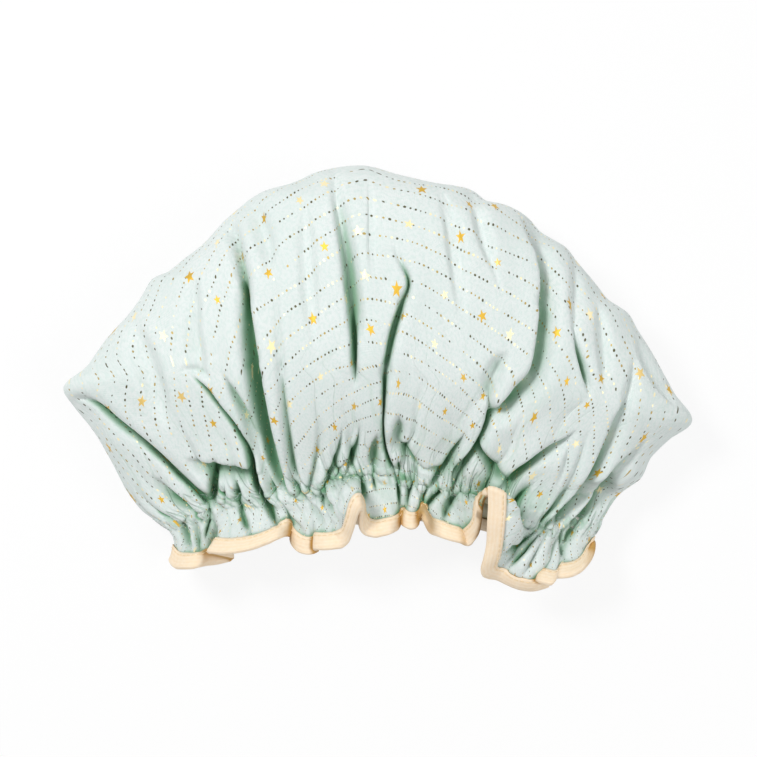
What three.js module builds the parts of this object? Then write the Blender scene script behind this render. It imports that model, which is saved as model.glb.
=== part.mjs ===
import * as THREE from "three";

// A lined fabric shower cap, puffed out and laid on its side on a table.
// One round of printed cotton and one round of waterproof film lie on each other.
// A channel 26 mm in from their edge holds an elastic, which gathers them into a pleated
// crown on one side and a frill on the other. A folded binding closes the raw edges.
// +X runs across the cap, +Y from the opening to the crown, +Z up from the table.
// Lengths are in millimetres.

// The whole cap.
const capWidth = 300; // from corner to corner
const capLength = 202; // from the crown to the lowest hem
const capThickness = 70; // table to the top of the puffed crown
const upperPleats = 12; // gathers round the opening, on the upper side
const lowerPleats = 8; // wider ones, on the side that lies on the table
const stepsPerPleat = 4;

// The opening, as the relaxed elastic leaves it.
const openingWidth = 206;
const openingGap = 30; // between the upper and the lower run of elastic
const openingLift = 8; // the lower run, above the table
const openingArch = 24; // the runs bow this far towards the crown
const openingEndDrop = 72; // the ends of the loop, below the cap's middle
const lowerRunLag = 4; // the lower run lies this much nearer to the hem
const sideDroop = 13; // the upper run sags towards the hem near its right end
const droopShare = 0.74; // where it sags, from the middle to the right end
const droopSpreadShare = 0.24;

// The frill below the elastic.
const frillDepth = 26; // elastic to the bound edge
const frillWave = 7.5; // how far a flute stands off the frill
const lowerFrillWave = 5.5; // the same for flutes that lie on the table
const frillFlare = 5; // the upper frill opens by this much
const frillDroop = 8; // what the hem sags beyond the elastic's own droop
const frillTuck = 3; // the frill's ends are drawn in by this much
const endFluteShare = 0.4; // flutes at the ends of the loop, against the others
const endSpreadShare = 0.07; // the part of the loop that they take up at each end

// Sheets, band, binding and thread.
const cottonThickness = 0.4;
const filmThickness = 0.25;
const elasticWidth = 6;
const elasticThickness = 0.9;
const elasticLap = 15; // how far the ends of the elastic lie on each other
const channelWidth = 10;
const seamInset = 1; // stitch rows, in from the edges of the channel
const crushHeight = 1.6; // small gathers that stand off the elastic
const bindingWidth = 9;
const bindingThickness = 0.5;
const bindingStitchInset = 1.5; // from the binding's upper edge
const rawEdgeInset = 1.5; // the cut edges stop this far short of the fold
const threadRadius = 0.22;
const sheetClearance = 0.3;
const bandClearance = 0.45; // round the elastic
const bindingClearance = 0.4; // between the binding and the sheets
const threadClearance = 0.45; // under the stitches
const pleatDepth = 18; // the deepest valley between two pleats

// Four lines run from the crown's middle to the elastic: along the left and right
// outline, over the upper side and under the lower side. Each row holds shares of half
// the width, half the length and the thickness, at the stations of the crown.
const leftLineShares = [
  [-0.03, 0.97, 0.47],
  [-0.28, 0.9, 0.46],
  [-0.6, 0.58, 0.42],
  [-0.85, 0.18, 0.36],
  [-0.996, -0.06, 0.3],
  [-0.9, -0.29, 0.28],
  [-0.785, -0.56, 0.28],
];
const rightLineShares = [
  [-0.03, 0.97, 0.47],
  [0.26, 0.9, 0.46],
  [0.6, 0.6, 0.42],
  [0.84, 0.16, 0.36],
  [0.996, -0.2, 0.3],
  [0.885, -0.36, 0.28],
  [0.775, -0.55, 0.28],
];
const upperLineShares = [
  [-0.03, 0.97, 0.47],
  [-0.02, 0.86, 0.79],
  [0, 0.6, 0.97],
  [0, 0.28, 1],
  [0, -0.02, 0.97],
  [0, -0.24, 0.84],
  [0, -0.37, 0.68],
];
const lowerLineShares = [
  [-0.03, 0.97, 0.47],
  [-0.02, 0.9, 0.15],
  [0, 0.62, -0.05],
  [0, 0.28, -0.06],
  [0, -0.04, -0.05],
  [0, -0.28, -0.02],
  [0, -0.42, 0.03],
];

// Valley depth at those stations, and at each pleat: where its valley starts between the
// crown's middle and the elastic, and how deep it gets. The first row runs from right to
// left over the upper side and the second from left to right under the lower side.
const stationDepthShares = [0, 0.15, 0.55, 0.8, 0.9, 1, 0.9];
const pleatReachShares = [
  0.5, 0.42, 0.32, 0.14, 0.12, 0.26, 0.08, 0.36, 0.2, 0.55, 0.32, 0.55,
  0.45, 0.5, 0.6, 0.65, 0.6, 0.65, 0.5, 0.4,
];
const pleatDepthShares = [
  0.35, 0.5, 0.45, 0.9, 0.3, 1, 0.9, 0.35, 1, 0.95, 0.3, 0.6,
  0.6, 0.45, 0.4, 0.45, 0.4, 0.45, 0.55, 0.6,
];

// Where the valleys of the upper run lie at some stations, from its right end to its left
// end. They follow the photographed folds, and at the elastic they are evenly spaced.
const foldStations = [1, 2, 3, 4, 5.2, 6];
const foldPlaceShares = [
  [0.05, 0.11, 0.18, 0.26, 0.35, 0.45, 0.56, 0.67, 0.76, 0.84, 0.9, 0.95],
  [0.03, 0.065, 0.105, 0.155, 0.33, 0.465, 0.58, 0.73, 0.82, 0.88, 0.925, 0.965],
  [0.035, 0.085, 0.135, 0.212, 0.365, 0.465, 0.54, 0.655, 0.712, 0.82, 0.9, 0.955],
  [0.055, 0.12, 0.18, 0.285, 0.395, 0.488, 0.535, 0.63, 0.678, 0.755, 0.83, 0.93],
  [0.05, 0.115, 0.18, 0.305, 0.399, 0.488, 0.533, 0.635, 0.682, 0.745, 0.838, 0.916],
  [0.055, 0.12, 0.19, 0.305, 0.395, 0.48, 0.541, 0.635, 0.69, 0.765, 0.85, 0.925],
];
const fluteShares = [
  0.6, 0.9, 0.8, 1, 0.7, 1, 0.8, 1, 0.7, 1, 0.8, 0.5,
  0.5, 0.9, 0.7, 1, 0.8, 0.9, 0.7, 0.5,
];
const pleatRiseShare = 0.3; // a valley deepens over this part of the way to the elastic
const valleyPlaceShare = 0.625; // of a pleat's width
const valleyPower = 2; // more makes narrower valleys
const valleyWidthShare = 0.6; // of an even valley's width, on the crown
const bodyFullness = 0.74; // an ellipse is 1, and less is boxier
const halfSamples = 160; // points that measure half a loop

const pleatCount = upperPleats + lowerPleats;
const upperShare = upperPleats / pleatCount;
const steps = pleatCount * stepsPerPleat;
const half = { x: capWidth / 2, y: capLength / 2 };
const elasticStation = leftLineShares.length;
const sagStations = 2; // the upper run's sag fades out over these
const widenStation = 5; // the upper valleys widen from here to the elastic
const openingMiddle = openingLift + openingGap / 2;

function vector(x, y, z) {
  return new THREE.Vector3(x, y, z);
}

function fromShares([x, y, z]) {
  return vector(x * half.x, y * half.y, z * capThickness);
}

function smooth(from, to, value) {
  return THREE.MathUtils.smoothstep(value, from, to);
}

// A line of the crown, carried on to the point where it meets the elastic.
function crownLine(shares, atElastic) {
  return new THREE.CatmullRomCurve3([...shares.map(fromShares), atElastic], false, "centripetal");
}

const upperElasticY = openingArch - openingEndDrop;
const crownLines = {
  left: crownLine(leftLineShares, vector(-openingWidth / 2, -openingEndDrop, openingMiddle)),
  right: crownLine(rightLineShares, vector(openingWidth / 2, -openingEndDrop, openingMiddle)),
  upper: crownLine(upperLineShares, vector(0, upperElasticY, openingLift + openingGap)),
  lower: crownLine(lowerLineShares, vector(0, upperElasticY - lowerRunLag, openingLift)),
};
const frillEndX = openingWidth / 2 - frillTuck;
const hemLoop = {
  left: vector(-frillEndX, -openingEndDrop - frillDepth + frillFlare, openingMiddle),
  right: vector(frillEndX, -openingEndDrop - frillDepth + frillFlare, openingMiddle),
  upper: vector(0, upperElasticY - frillDepth, openingLift + openingGap + frillFlare),
  lower: vector(0, upperElasticY - lowerRunLag - frillDepth, openingLift),
  droop: sideDroop + frillDroop,
};

// Where the four lines stand at one station, and how much the loop sags there.
function loopAt(station) {
  const t = station / elasticStation;
  const at = {};
  for (const [name, line] of Object.entries(crownLines)) at[name] = line.getPoint(t);
  at.droop = sideDroop * smooth(elasticStation - sagStations, elasticStation, station);
  return at;
}

// A point of a flattened loop. Angle 0 is its right end and a quarter turn its upper run.
function loopPoint(loop, angle) {
  const across = Math.cos(angle);
  const run = Math.sin(angle) >= 0 ? loop.upper : loop.lower;
  const middle = loop.left.clone().add(loop.right).divideScalar(2);
  const reach = loop.right.clone().sub(loop.left).divideScalar(2);
  const bow = 1 - across * across;
  const lift = Math.pow(Math.abs(Math.sin(angle)), bodyFullness);
  const point = middle.clone().addScaledVector(reach, across);
  const height = point.z;
  point.addScaledVector(run.clone().sub(middle), bow);
  point.z = height + (run.z - middle.z) * lift;
  if (run === loop.upper)
    point.y -= loop.droop * Math.exp(-(((across - droopShare) / droopSpreadShare) ** 2));
  return point;
}

// Turns go round a loop once, measured along it: from its right end over the upper run,
// which takes the upper pleats' share, to its left end, and back along the lower run.
function wrap(turn) {
  return ((turn % 1) + 1) % 1;
}

// The places of the upper run's valleys at any station.
function foldPlaces(station) {
  const even = Array.from({ length: upperPleats }, (_, k) => (k + 0.5) / upperPleats);
  const stations = [...foldStations, elasticStation];
  const rows = [...foldPlaceShares, even];
  let i = 1;
  while (i < stations.length - 1 && stations[i] < station) i++;
  const share = THREE.MathUtils.clamp(
    (station - stations[i - 1]) / (stations[i] - stations[i - 1]), 0, 1);
  return even.map((_, k) => THREE.MathUtils.lerp(rows[i - 1][k], rows[i][k], share));
}

// Knots that carry an even share of the upper run to its column's place. The valleys are
// narrow on the crown and even at the elastic, and the ridges take up the rest.
function foldKnots(station) {
  const places = foldPlaces(station);
  const step = 1 / stepsPerPleat;
  const widening = smooth(widenStation, elasticStation, station);
  const halfWidth = (step / upperPleats) * THREE.MathUtils.lerp(valleyWidthShare, 1, widening);
  const knots = [[0, 0]];
  places.forEach((place, k) => {
    const before = place - (k > 0 ? places[k - 1] : -place);
    const after = (k + 1 < upperPleats ? places[k + 1] : 2 - place) - place;
    const even = (k + 0.5) / upperPleats;
    knots.push([even - step / upperPleats, place - Math.min(halfWidth, before * step)]);
    knots.push([even, place]);
    knots.push([even + step / upperPleats, place + Math.min(halfWidth, after * step)]);
  });
  knots.push([1, 1]);
  return knots;
}

function placeOf(knots, even) {
  let i = 1;
  while (i < knots.length - 1 && knots[i][0] < even) i++;
  const [[from, start], [to, end]] = [knots[i - 1], knots[i]];
  return THREE.MathUtils.mapLinear(even, from, to, start, end);
}

function measuredLoop(loop, knots) {
  const runs = [0, Math.PI].map((start) => {
    const points = [];
    const lengths = [0];
    for (let i = 0; i <= halfSamples; i++) {
      points.push(loopPoint(loop, start + (Math.PI * i) / halfSamples));
      if (i > 0) lengths.push(lengths[i - 1] + points[i].distanceTo(points[i - 1]));
    }
    return { points, lengths };
  });
  return (turn) => {
    const wrapped = wrap(turn);
    const upper = wrapped < upperShare;
    const { points, lengths } = runs[upper ? 0 : 1];
    const even = upper ? wrapped / upperShare : (wrapped - upperShare) / (1 - upperShare);
    const goal = (upper ? placeOf(knots, even) : even) * lengths[halfSamples];
    let i = 1;
    while (i < halfSamples && lengths[i] < goal) i++;
    const share = (goal - lengths[i - 1]) / (lengths[i] - lengths[i - 1]);
    return points[i - 1].clone().lerp(points[i], share);
  };
}

const loops = new Map();
function envelope(station, turn) {
  if (!loops.has(station))
    loops.set(station, measuredLoop(loopAt(station), foldKnots(station)));
  return loops.get(station)(turn);
}
const hemEnvelope = measuredLoop(hemLoop, foldKnots(elasticStation));

const turnStep = 1 / (steps * stepsPerPleat);
const stationStep = 0.12;

function across(point, turn) {
  return point(turn + turnStep).sub(point(turn - turnStep));
}

function outward(alongTurn, towardsHem) {
  return alongTurn.clone().cross(towardsHem).normalize();
}

function envelopeNormal(station, turn) {
  const before = Math.max(station - stationStep, stationStep / 2);
  const after = Math.min(station + stationStep, elasticStation);
  const towardsHem = envelope(after, turn).sub(envelope(before, turn));
  return outward(across((t) => envelope(station, t), turn), towardsHem);
}

function pleatAt(turn) {
  return Math.floor(wrap(turn) * pleatCount) % pleatCount;
}

function pleatPhase(turn) {
  return 2 * Math.PI * (pleatCount * turn + 0.5 / stepsPerPleat);
}

// A wave with flat crests and troughs: two steps of each pleat stand out, two lie in.
function wave(turn) {
  return THREE.MathUtils.clamp(Math.SQRT2 * Math.cos(pleatPhase(turn)), -1, 1);
}

// A narrow valley between wide ridges, nearer to one side of the pleat.
function dip(turn) {
  const off = pleatPhase(turn) - 2 * Math.PI * valleyPlaceShare;
  return ((1 + Math.cos(off)) / 2) ** valleyPower;
}

// How far a valley between two pleats dips below the envelope.
function valley(station, turn) {
  const k = pleatAt(turn);
  const fade = smooth(0, pleatRiseShare, station / elasticStation - pleatReachShares[k]);
  const low = Math.floor(station);
  const high = Math.min(low + 1, stationDepthShares.length - 1);
  const stationShare = THREE.MathUtils.lerp(
    stationDepthShares[Math.min(low, high)], stationDepthShares[high], station - low);
  return pleatDepth * pleatDepthShares[k] * stationShare * fade * dip(turn);
}

// Everything under the crown rests on the table through the cotton, and the frill
// through its binding.
const cottonOuter = sheetClearance / 2 + cottonThickness;
const bindingOuter = cottonOuter + bindingClearance + bindingThickness;

function aboveTable(point, height) {
  point.z = Math.max(point.z, height);
  return point;
}

function crownPoint(station, turn) {
  const point = envelope(station, turn);
  point.addScaledVector(envelopeNormal(station, turn), -valley(station, turn));
  return aboveTable(point, cottonOuter);
}

function elasticPoint(turn) {
  return envelope(elasticStation, turn);
}

function towardsHemAt(turn) {
  return elasticPoint(turn).sub(envelope(elasticStation - stationStep, turn)).normalize();
}

function channelPoint(turn, distance) {
  return elasticPoint(turn).addScaledVector(towardsHemAt(turn), distance);
}

// The flutes are calmer round the two tight ends of the loop.
function calmAt(turn) {
  const wrapped = wrap(turn);
  const toEnd = Math.min(wrapped, Math.abs(wrapped - upperShare), 1 - wrapped);
  return THREE.MathUtils.lerp(endFluteShare, 1, smooth(0, endSpreadShare, toEnd));
}

function hemPoint(turn) {
  const base = hemEnvelope(turn);
  const normal = outward(across(hemEnvelope, turn), base.clone().sub(elasticPoint(turn)));
  const high = (wrap(turn) < upperShare ? frillWave : lowerFrillWave) * calmAt(turn);
  const w = wave(turn);
  base.addScaledVector(normal, high * (w > 0 ? w : w * fluteShares[pleatAt(turn)]));
  return aboveTable(base, bindingOuter);
}

// A point of the frill, measured up from the hem towards the elastic.
function frillPoint(turn, fromHem) {
  const hem = hemPoint(turn);
  const top = channelPoint(turn, channelWidth / 2);
  return hem.add(top.sub(hem).normalize().multiplyScalar(fromHem));
}

// The elastic's ends lap under the middle of the lower side. The sheets stand off it, with
// more room there.
const lapTurns = (elasticLap / openingWidth) * (1 - upperShare);
const lapMiddle = (1 + upperShare) / 2;
const lapStart = lapMiddle - lapTurns / 2;
const lapEase = 2 / steps;
const lapLift = (elasticThickness + sheetClearance) / 2;
const joinRoom = 2 * (threadClearance + threadRadius);

function lapShare(turn) {
  const past = Math.abs(wrap(turn) - lapMiddle) - lapTurns / 2;
  return 1 - smooth(lapEase / 2, 2 * lapEase, past);
}

function standOff(turn) {
  const crush = (crushHeight * (1 - wave(turn))) / 2;
  return elasticThickness / 2 + bandClearance + crush + (lapLift + joinRoom) * lapShare(turn);
}

// The rings that the sheets are laid on, from the crown to the cut edge. rest is how far
// each sheet stays from the surface between them.
const restOff = sheetClearance / 2;
const flat = () => restOff;
const rings = [
  ...[
    [1, pleatCount],
    [2, pleatCount * 2],
    [3, steps],
    [4, steps],
    [5.2, steps],
  ].map(([station, count]) => ({ count, off: flat, point: (t) => crownPoint(station, t) })),
  { count: steps, off: standOff, point: (t) => channelPoint(t, -channelWidth / 2) },
  { count: steps, off: standOff, point: (t) => channelPoint(t, channelWidth / 2) },
  { count: steps, off: flat, point: (t) => frillPoint(t, bindingWidth) },
  { count: steps, off: flat, point: (t) => frillPoint(t, rawEdgeInset) },
];
const channelTop = rings.length - 4;
const channelBottom = rings.length - 3;
const bindingTop = rings.length - 2;
const cutEdge = rings.length - 1;

// The way out of the facets on both sides of a point of a ring. It is a little longer than
// 1 on a fold, so that offset facets stay evenly apart.
const mitreLimit = 2;
function ringNormal(index, turn) {
  const { point, count } = rings[index];
  const nextRing = rings[Math.min(index + 1, cutEdge)].point(turn);
  const lastRing = index > 0 ? rings[index - 1].point(turn) : crownLines.left.getPoint(0);
  const towardsHem = nextRing.sub(lastRing);
  const here = point(turn);
  const before = outward(here.clone().sub(point(turn - 1 / count)), towardsHem);
  const after = outward(point(turn + 1 / count).sub(here), towardsHem);
  const normal = before.clone().add(after).normalize();
  return normal.multiplyScalar(Math.min(1 / normal.dot(before), mitreLimit));
}

// One point of a sheet's face: side is 1 outside and -1 inside, extra goes further out.
function facePoint(index, turn, side, extra) {
  const ring = rings[index];
  return ring.point(turn).addScaledVector(ringNormal(index, turn), side * (ring.off(turn) + extra));
}

// Builds a mesh from lists of points and triangles between them.
class Surface {
  constructor() {
    this.points = [];
    this.triangles = [];
  }

  add(points) {
    const first = this.points.length;
    this.points.push(...points);
    return points.map((_, i) => first + i);
  }

  fan(centre, ring, flip) {
    ring.forEach((a, i) => this.triangle(centre, a, ring[(i + 1) % ring.length], flip));
  }

  triangle(a, b, c, flip) {
    this.triangles.push(...(flip ? [a, c, b] : [a, b, c]));
  }

  // Joins two closed rings, the second with as many points as the first or twice as many.
  band(first, second, flip) {
    const times = second.length / first.length;
    first.forEach((a, i) => {
      const b = first[(i + 1) % first.length];
      const outer = [];
      for (let k = 0; k <= times; k++) outer.push(second[(i * times + k) % second.length]);
      this.triangle(a, outer[0], outer[1], flip);
      if (times === 2) this.triangle(a, outer[1], outer[2], flip);
      if (times === 2) this.triangle(a, outer[2], b, flip);
      else this.triangle(a, outer[1], b, flip);
    });
  }

  geometry() {
    const made = new THREE.BufferGeometry();
    made.setAttribute(
      "position",
      new THREE.Float32BufferAttribute(this.points.flatMap((p) => p.toArray()), 3),
    );
    made.setIndex(this.triangles);
    made.computeVertexNormals();
    return made;
  }
}

function turnsOf(count) {
  return Array.from({ length: count }, (_, i) => i / count);
}

// A round of sheet: side 1 lies outside the elastic and side -1 inside it.
function sheet(side, thickness) {
  const surface = new Surface();
  const apex = crownLines.left.getPoint(0);
  const upwards = vector(0, 1, 0);
  const faces = [side * restOff, side * (restOff + thickness)].map((distance, face) => {
    const centre = surface.add([apex.clone().addScaledVector(upwards, distance)])[0];
    const laid = rings.map((ring, index) =>
      surface.add(turnsOf(ring.count).map((t) => facePoint(index, t, side, face * thickness))));
    const flip = face === (side > 0 ? 1 : 0);
    surface.fan(centre, laid[0], flip);
    for (let i = 1; i < laid.length; i++) surface.band(laid[i - 1], laid[i], flip);
    return laid[cutEdge];
  });
  surface.band(faces[0], faces[1], side < 0);
  return surface.geometry();
}

// Sweeps a closed section: sections holds one list of points for each place on the path.
function sweep(sections, closed) {
  const surface = new Surface();
  const laid = sections.map((section) => surface.add(section));
  const last = closed ? laid.length : laid.length - 1;
  for (let i = 0; i < last; i++) surface.band(laid[i], laid[(i + 1) % laid.length], false);
  if (!closed) {
    for (const [ring, flip] of [[laid[0], false], [laid[last], true]]) {
      for (let i = 1; i < ring.length - 1; i++)
        surface.triangle(ring[0], ring[i], ring[i + 1], flip);
    }
  }
  return surface.geometry();
}

// The elastic is one strip. past is how far round it has come from its first end.
function elasticSection(past) {
  const turn = lapStart + past;
  const start = 1 - smooth(lapTurns, lapTurns + lapEase, past);
  const end = smooth(1 - lapEase, 1, past);
  const centre = elasticPoint(turn);
  const along = towardsHemAt(turn);
  const normal = outward(across(elasticPoint, turn), along);
  centre.addScaledVector(normal, lapLift * (end - start));
  const corner = (a, n) =>
    centre.clone()
      .addScaledVector(along, (a * elasticWidth) / 2)
      .addScaledVector(normal, (n * elasticThickness) / 2);
  return [corner(-1, 1), corner(1, 1), corner(1, -1), corner(-1, -1)];
}

// Between its ends the strip bends where the sheets bend.
function elasticBand() {
  const length = 1 + lapTurns;
  const places = [0];
  for (let i = Math.ceil(lapStart * steps); i / steps < lapStart + length; i++)
    places.push(i / steps - lapStart);
  places.push(length);
  const shortest = turnStep;
  const kept = places.filter((place, i) =>
    i === 0 || i === places.length - 1 || (place > shortest && place < length - shortest));
  return sweep(kept.map(elasticSection), false);
}

// The binding is a tape folded round both cut edges. Its eight edges run round the hem:
// from the top of the inner leg, down, across under the cut edges, and back up outside.
function bindingEdge(index, side, extra, past) {
  const thickness = side > 0 ? cottonThickness : filmThickness;
  return turnsOf(steps).map((turn) => {
    const down = hemPoint(turn).sub(frillPoint(turn, bindingWidth)).normalize();
    return facePoint(index, turn, side, thickness + extra).addScaledVector(down, past);
  });
}

function hemBinding() {
  const near = bindingClearance;
  const far = bindingClearance + bindingThickness;
  const beyond = rawEdgeInset - bindingThickness;
  const surface = new Surface();
  const edges = [
    bindingEdge(bindingTop, -1, near, 0),
    bindingEdge(cutEdge, -1, near, beyond),
    bindingEdge(cutEdge, 1, near, beyond),
    bindingEdge(bindingTop, 1, near, 0),
    bindingEdge(bindingTop, 1, far, 0),
    bindingEdge(cutEdge, 1, far, rawEdgeInset),
    bindingEdge(cutEdge, -1, far, rawEdgeInset),
    bindingEdge(bindingTop, -1, far, 0),
  ].map((edge) => surface.add(edge));
  // Both legs are laid from their upper edge down, so that they split as the sheets do.
  for (const [from, to] of [[0, 1], [1, 2], [3, 2], [3, 4], [4, 5], [5, 6], [7, 6], [7, 0]])
    surface.band(edges[from], edges[to], to === (from + 1) % edges.length);
  return surface.geometry();
}

// Thread: a thin round of three sides along points, each with its own outward normal.
const threadSides = 3;
function thread(places, closed) {
  const count = places.length;
  const sections = places.map(({ point, normal }, i) => {
    const next = places[closed ? (i + 1) % count : Math.min(i + 1, count - 1)].point;
    const before = places[closed ? (i + count - 1) % count : Math.max(i - 1, 0)].point;
    const side = next.clone().sub(before).cross(normal).normalize();
    return Array.from({ length: threadSides }, (_, k) => {
      const angle = (-2 * Math.PI * k) / threadSides;
      return point.clone()
        .addScaledVector(normal, threadRadius * Math.cos(angle))
        .addScaledVector(side, threadRadius * Math.sin(angle));
    });
  });
  return sweep(sections, closed);
}

// A row of stitches on the outer face, between two rings, share of the way down.
function stitchRow(upper, lower, share, extra) {
  const lie = cottonThickness + extra + threadClearance + threadRadius;
  const places = turnsOf(steps).map((turn) => ({
    point: facePoint(upper, turn, 1, lie).lerp(facePoint(lower, turn, 1, lie), share),
    normal: ringNormal(upper, turn).lerp(ringNormal(lower, turn), share).normalize(),
  }));
  return thread(places, true);
}

// The zigzag that holds the lapped ends of the elastic together.
const joinLegs = 7;
const joinWidthShare = 0.7;
function elasticJoin() {
  const places = [];
  for (let i = 0; i <= joinLegs; i++) {
    const turn = lapStart + (lapTurns * (i + 0.5)) / (joinLegs + 1);
    const along = towardsHemAt(turn);
    const normal = outward(across(elasticPoint, turn), along);
    const swing = ((i % 2 ? 1 : -1) * joinWidthShare * elasticWidth) / 2;
    const height = lapLift + elasticThickness / 2 + threadClearance + threadRadius;
    places.push({
      point: elasticPoint(turn).addScaledVector(along, swing).addScaledVector(normal, height),
      normal,
    });
  }
  return thread(places, false);
}

const mint = new THREE.MeshStandardMaterial({ color: 0xcfe9e1, roughness: 0.85, metalness: 0 });
const film = new THREE.MeshStandardMaterial({ color: 0xe3efec, roughness: 0.45, metalness: 0 });
const knit = new THREE.MeshStandardMaterial({ color: 0xf4f1ea, roughness: 0.9, metalness: 0 });
const cream = new THREE.MeshStandardMaterial({ color: 0xf3dcb4, roughness: 0.85, metalness: 0 });
const creamThread = new THREE.MeshStandardMaterial({ color: 0xe6cb9c, roughness: 0.7, metalness: 0 });
const mintThread = new THREE.MeshStandardMaterial({ color: 0xbfdcd3, roughness: 0.7, metalness: 0 });

const cap = new THREE.Group();
function piece(name, geometry, material) {
  const mesh = new THREE.Mesh(geometry, material);
  mesh.name = name;
  cap.add(mesh);
}

const seamShare = seamInset / channelWidth;
piece("outer_fabric", sheet(1, cottonThickness), mint);
piece("waterproof_lining", sheet(-1, filmThickness), film);
piece("elastic_band", elasticBand(), knit);
piece("hem_binding", hemBinding(), cream);
piece("channel_stitch_upper", stitchRow(channelTop, channelBottom, seamShare, 0), mintThread);
piece("channel_stitch_lower", stitchRow(channelTop, channelBottom, 1 - seamShare, 0), mintThread);
piece(
  "binding_stitch",
  stitchRow(bindingTop, cutEdge, bindingStitchInset / (bindingWidth - rawEdgeInset),
    bindingClearance + bindingThickness),
  creamThread,
);
piece("elastic_join_stitch", elasticJoin(), mintThread);

// The origin is the middle of the cap's footprint, on the table.
const box = new THREE.Box3().setFromObject(cap);
const centre = box.getCenter(vector(0, 0, 0));
cap.position.set(-centre.x, -centre.y, -box.min.z);

export default cap;
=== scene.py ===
# %% [markdown]
# A lined shower cap, puffed out and laid on its side on a table, seen from straight above.
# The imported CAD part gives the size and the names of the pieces. This lesson lays finer
# pieces over it: two sheets, an elastic, a folded binding and their stitches.

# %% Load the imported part
import math

import bpy
import numpy as np
from mathutils.bvhtree import BVHTree
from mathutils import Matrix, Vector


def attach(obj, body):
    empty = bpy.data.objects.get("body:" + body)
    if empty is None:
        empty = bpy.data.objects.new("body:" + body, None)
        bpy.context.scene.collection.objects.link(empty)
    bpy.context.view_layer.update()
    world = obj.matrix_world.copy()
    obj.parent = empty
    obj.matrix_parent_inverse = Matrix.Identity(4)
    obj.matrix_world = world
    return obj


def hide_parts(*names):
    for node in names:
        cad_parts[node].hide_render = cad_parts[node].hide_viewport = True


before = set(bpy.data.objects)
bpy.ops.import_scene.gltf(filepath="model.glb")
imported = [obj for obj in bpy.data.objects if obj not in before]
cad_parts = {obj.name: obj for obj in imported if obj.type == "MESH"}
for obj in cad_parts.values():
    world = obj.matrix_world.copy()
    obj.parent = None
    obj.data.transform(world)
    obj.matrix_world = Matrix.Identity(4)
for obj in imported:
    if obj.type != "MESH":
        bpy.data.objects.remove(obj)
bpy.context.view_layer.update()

# %% [markdown]
# The photograph is the ruler. Its camera looked straight down, so a pixel and a height above
# the table give one point of the cap. A far camera with a long lens keeps the height's share
# small, and the same numbers place the camera of this scene.

# %% From the photograph to the table
PHOTO_SIZE = 757.0
MM_PER_PIXEL = 0.4785
CAMERA_HEIGHT = 1150.0
MEASURED_HEIGHT = 30.0
CENTRE_PIXEL = (PHOTO_SIZE / 2, PHOTO_SIZE / 2)
TABLE_PIXEL_Y = 376.5
CAMERA_Y = (TABLE_PIXEL_Y - CENTRE_PIXEL[1]) * MM_PER_PIXEL
METRE = 0.001


def spread_at(z):
    return (CAMERA_HEIGHT - z) / (CAMERA_HEIGHT - MEASURED_HEIGHT)


def from_photo(px, py, z):
    """The point in millimetres that shows at a pixel, at a height above the table."""
    scale = MM_PER_PIXEL * spread_at(z)
    return np.array([(px - CENTRE_PIXEL[0]) * scale, (CENTRE_PIXEL[1] - py) * scale + CAMERA_Y, z])


def to_photo(points):
    """The pixels at which points in millimetres show."""
    scale = MM_PER_PIXEL * spread_at(points[..., 2])
    px = CENTRE_PIXEL[0] + points[..., 0] / scale
    py = CENTRE_PIXEL[1] - (points[..., 1] - CAMERA_Y) / scale
    return np.stack([px, py], -1)


SENSOR_WIDTH = 36.0
camera_data = bpy.data.cameras.new("camera")
camera_data.sensor_width = SENSOR_WIDTH
camera_data.lens = SENSOR_WIDTH * (CAMERA_HEIGHT - MEASURED_HEIGHT) / (PHOTO_SIZE * MM_PER_PIXEL)
camera = bpy.data.objects.new("camera", camera_data)
camera.location = (0, CAMERA_Y * METRE, CAMERA_HEIGHT * METRE)
bpy.context.collection.objects.link(camera)
bpy.context.scene.camera = camera
bpy.context.scene.view_settings.view_transform = "Standard"
print("lens", round(camera_data.lens, 1), "mm")

# %% [markdown]
# Curves through given points shape everything that follows. A Catmull-Rom spline passes
# through each of its points, so a point that is read off the photograph stays where it is.


# %% Splines, steps and smooth noise
TINY = 1e-6


def smooth(low, high, value):
    x = np.clip((value - low) / (high - low), 0, 1)
    return x * x * (3 - 2 * x)


def through(knots, points, at):
    """A smooth curve that passes through points at their knots, sampled at the values of at."""
    knots = np.asarray(knots, float)
    points = np.asarray(points, float)
    gaps = np.diff(knots)[:, None]
    slopes = np.diff(points, axis=0) / gaps
    inner = (slopes[:-1] * gaps[1:] + slopes[1:] * gaps[:-1]) / (gaps[1:] + gaps[:-1])
    tangents = np.concatenate([slopes[:1], inner, slopes[-1:]])
    at = np.asarray(at, float)
    i = np.clip(np.searchsorted(knots, at) - 1, 0, len(knots) - 2)
    gap = gaps[i]
    x = ((at - knots[i]) / gaps[i, 0])[..., None]
    start, end = points[i], points[i + 1]
    rise = tangents[i] * gap
    fall = tangents[i + 1] * gap
    return (
        start * (2 * x**3 - 3 * x**2 + 1) + rise * (x**3 - 2 * x**2 + x)
        + end * (3 * x**2 - 2 * x**3) + fall * (x**3 - x**2)
    )


def lengths_along(points):
    """How far it is from the first row of points to each row, step by step."""
    steps = np.linalg.norm(np.diff(points, axis=0), axis=-1)
    return np.concatenate([np.zeros_like(steps[:1]), np.cumsum(steps, axis=0)])


def chord_knots(points):
    """Knots from 0 to 1, as far apart as the points."""
    lengths = lengths_along(np.asarray(points, float))
    return lengths / lengths[-1]


def linear(at, knots, points):
    """The points between their knots, joined by straight lines."""
    return np.stack([np.interp(at, knots, points[:, k]) for k in range(points.shape[1])], -1)


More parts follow.
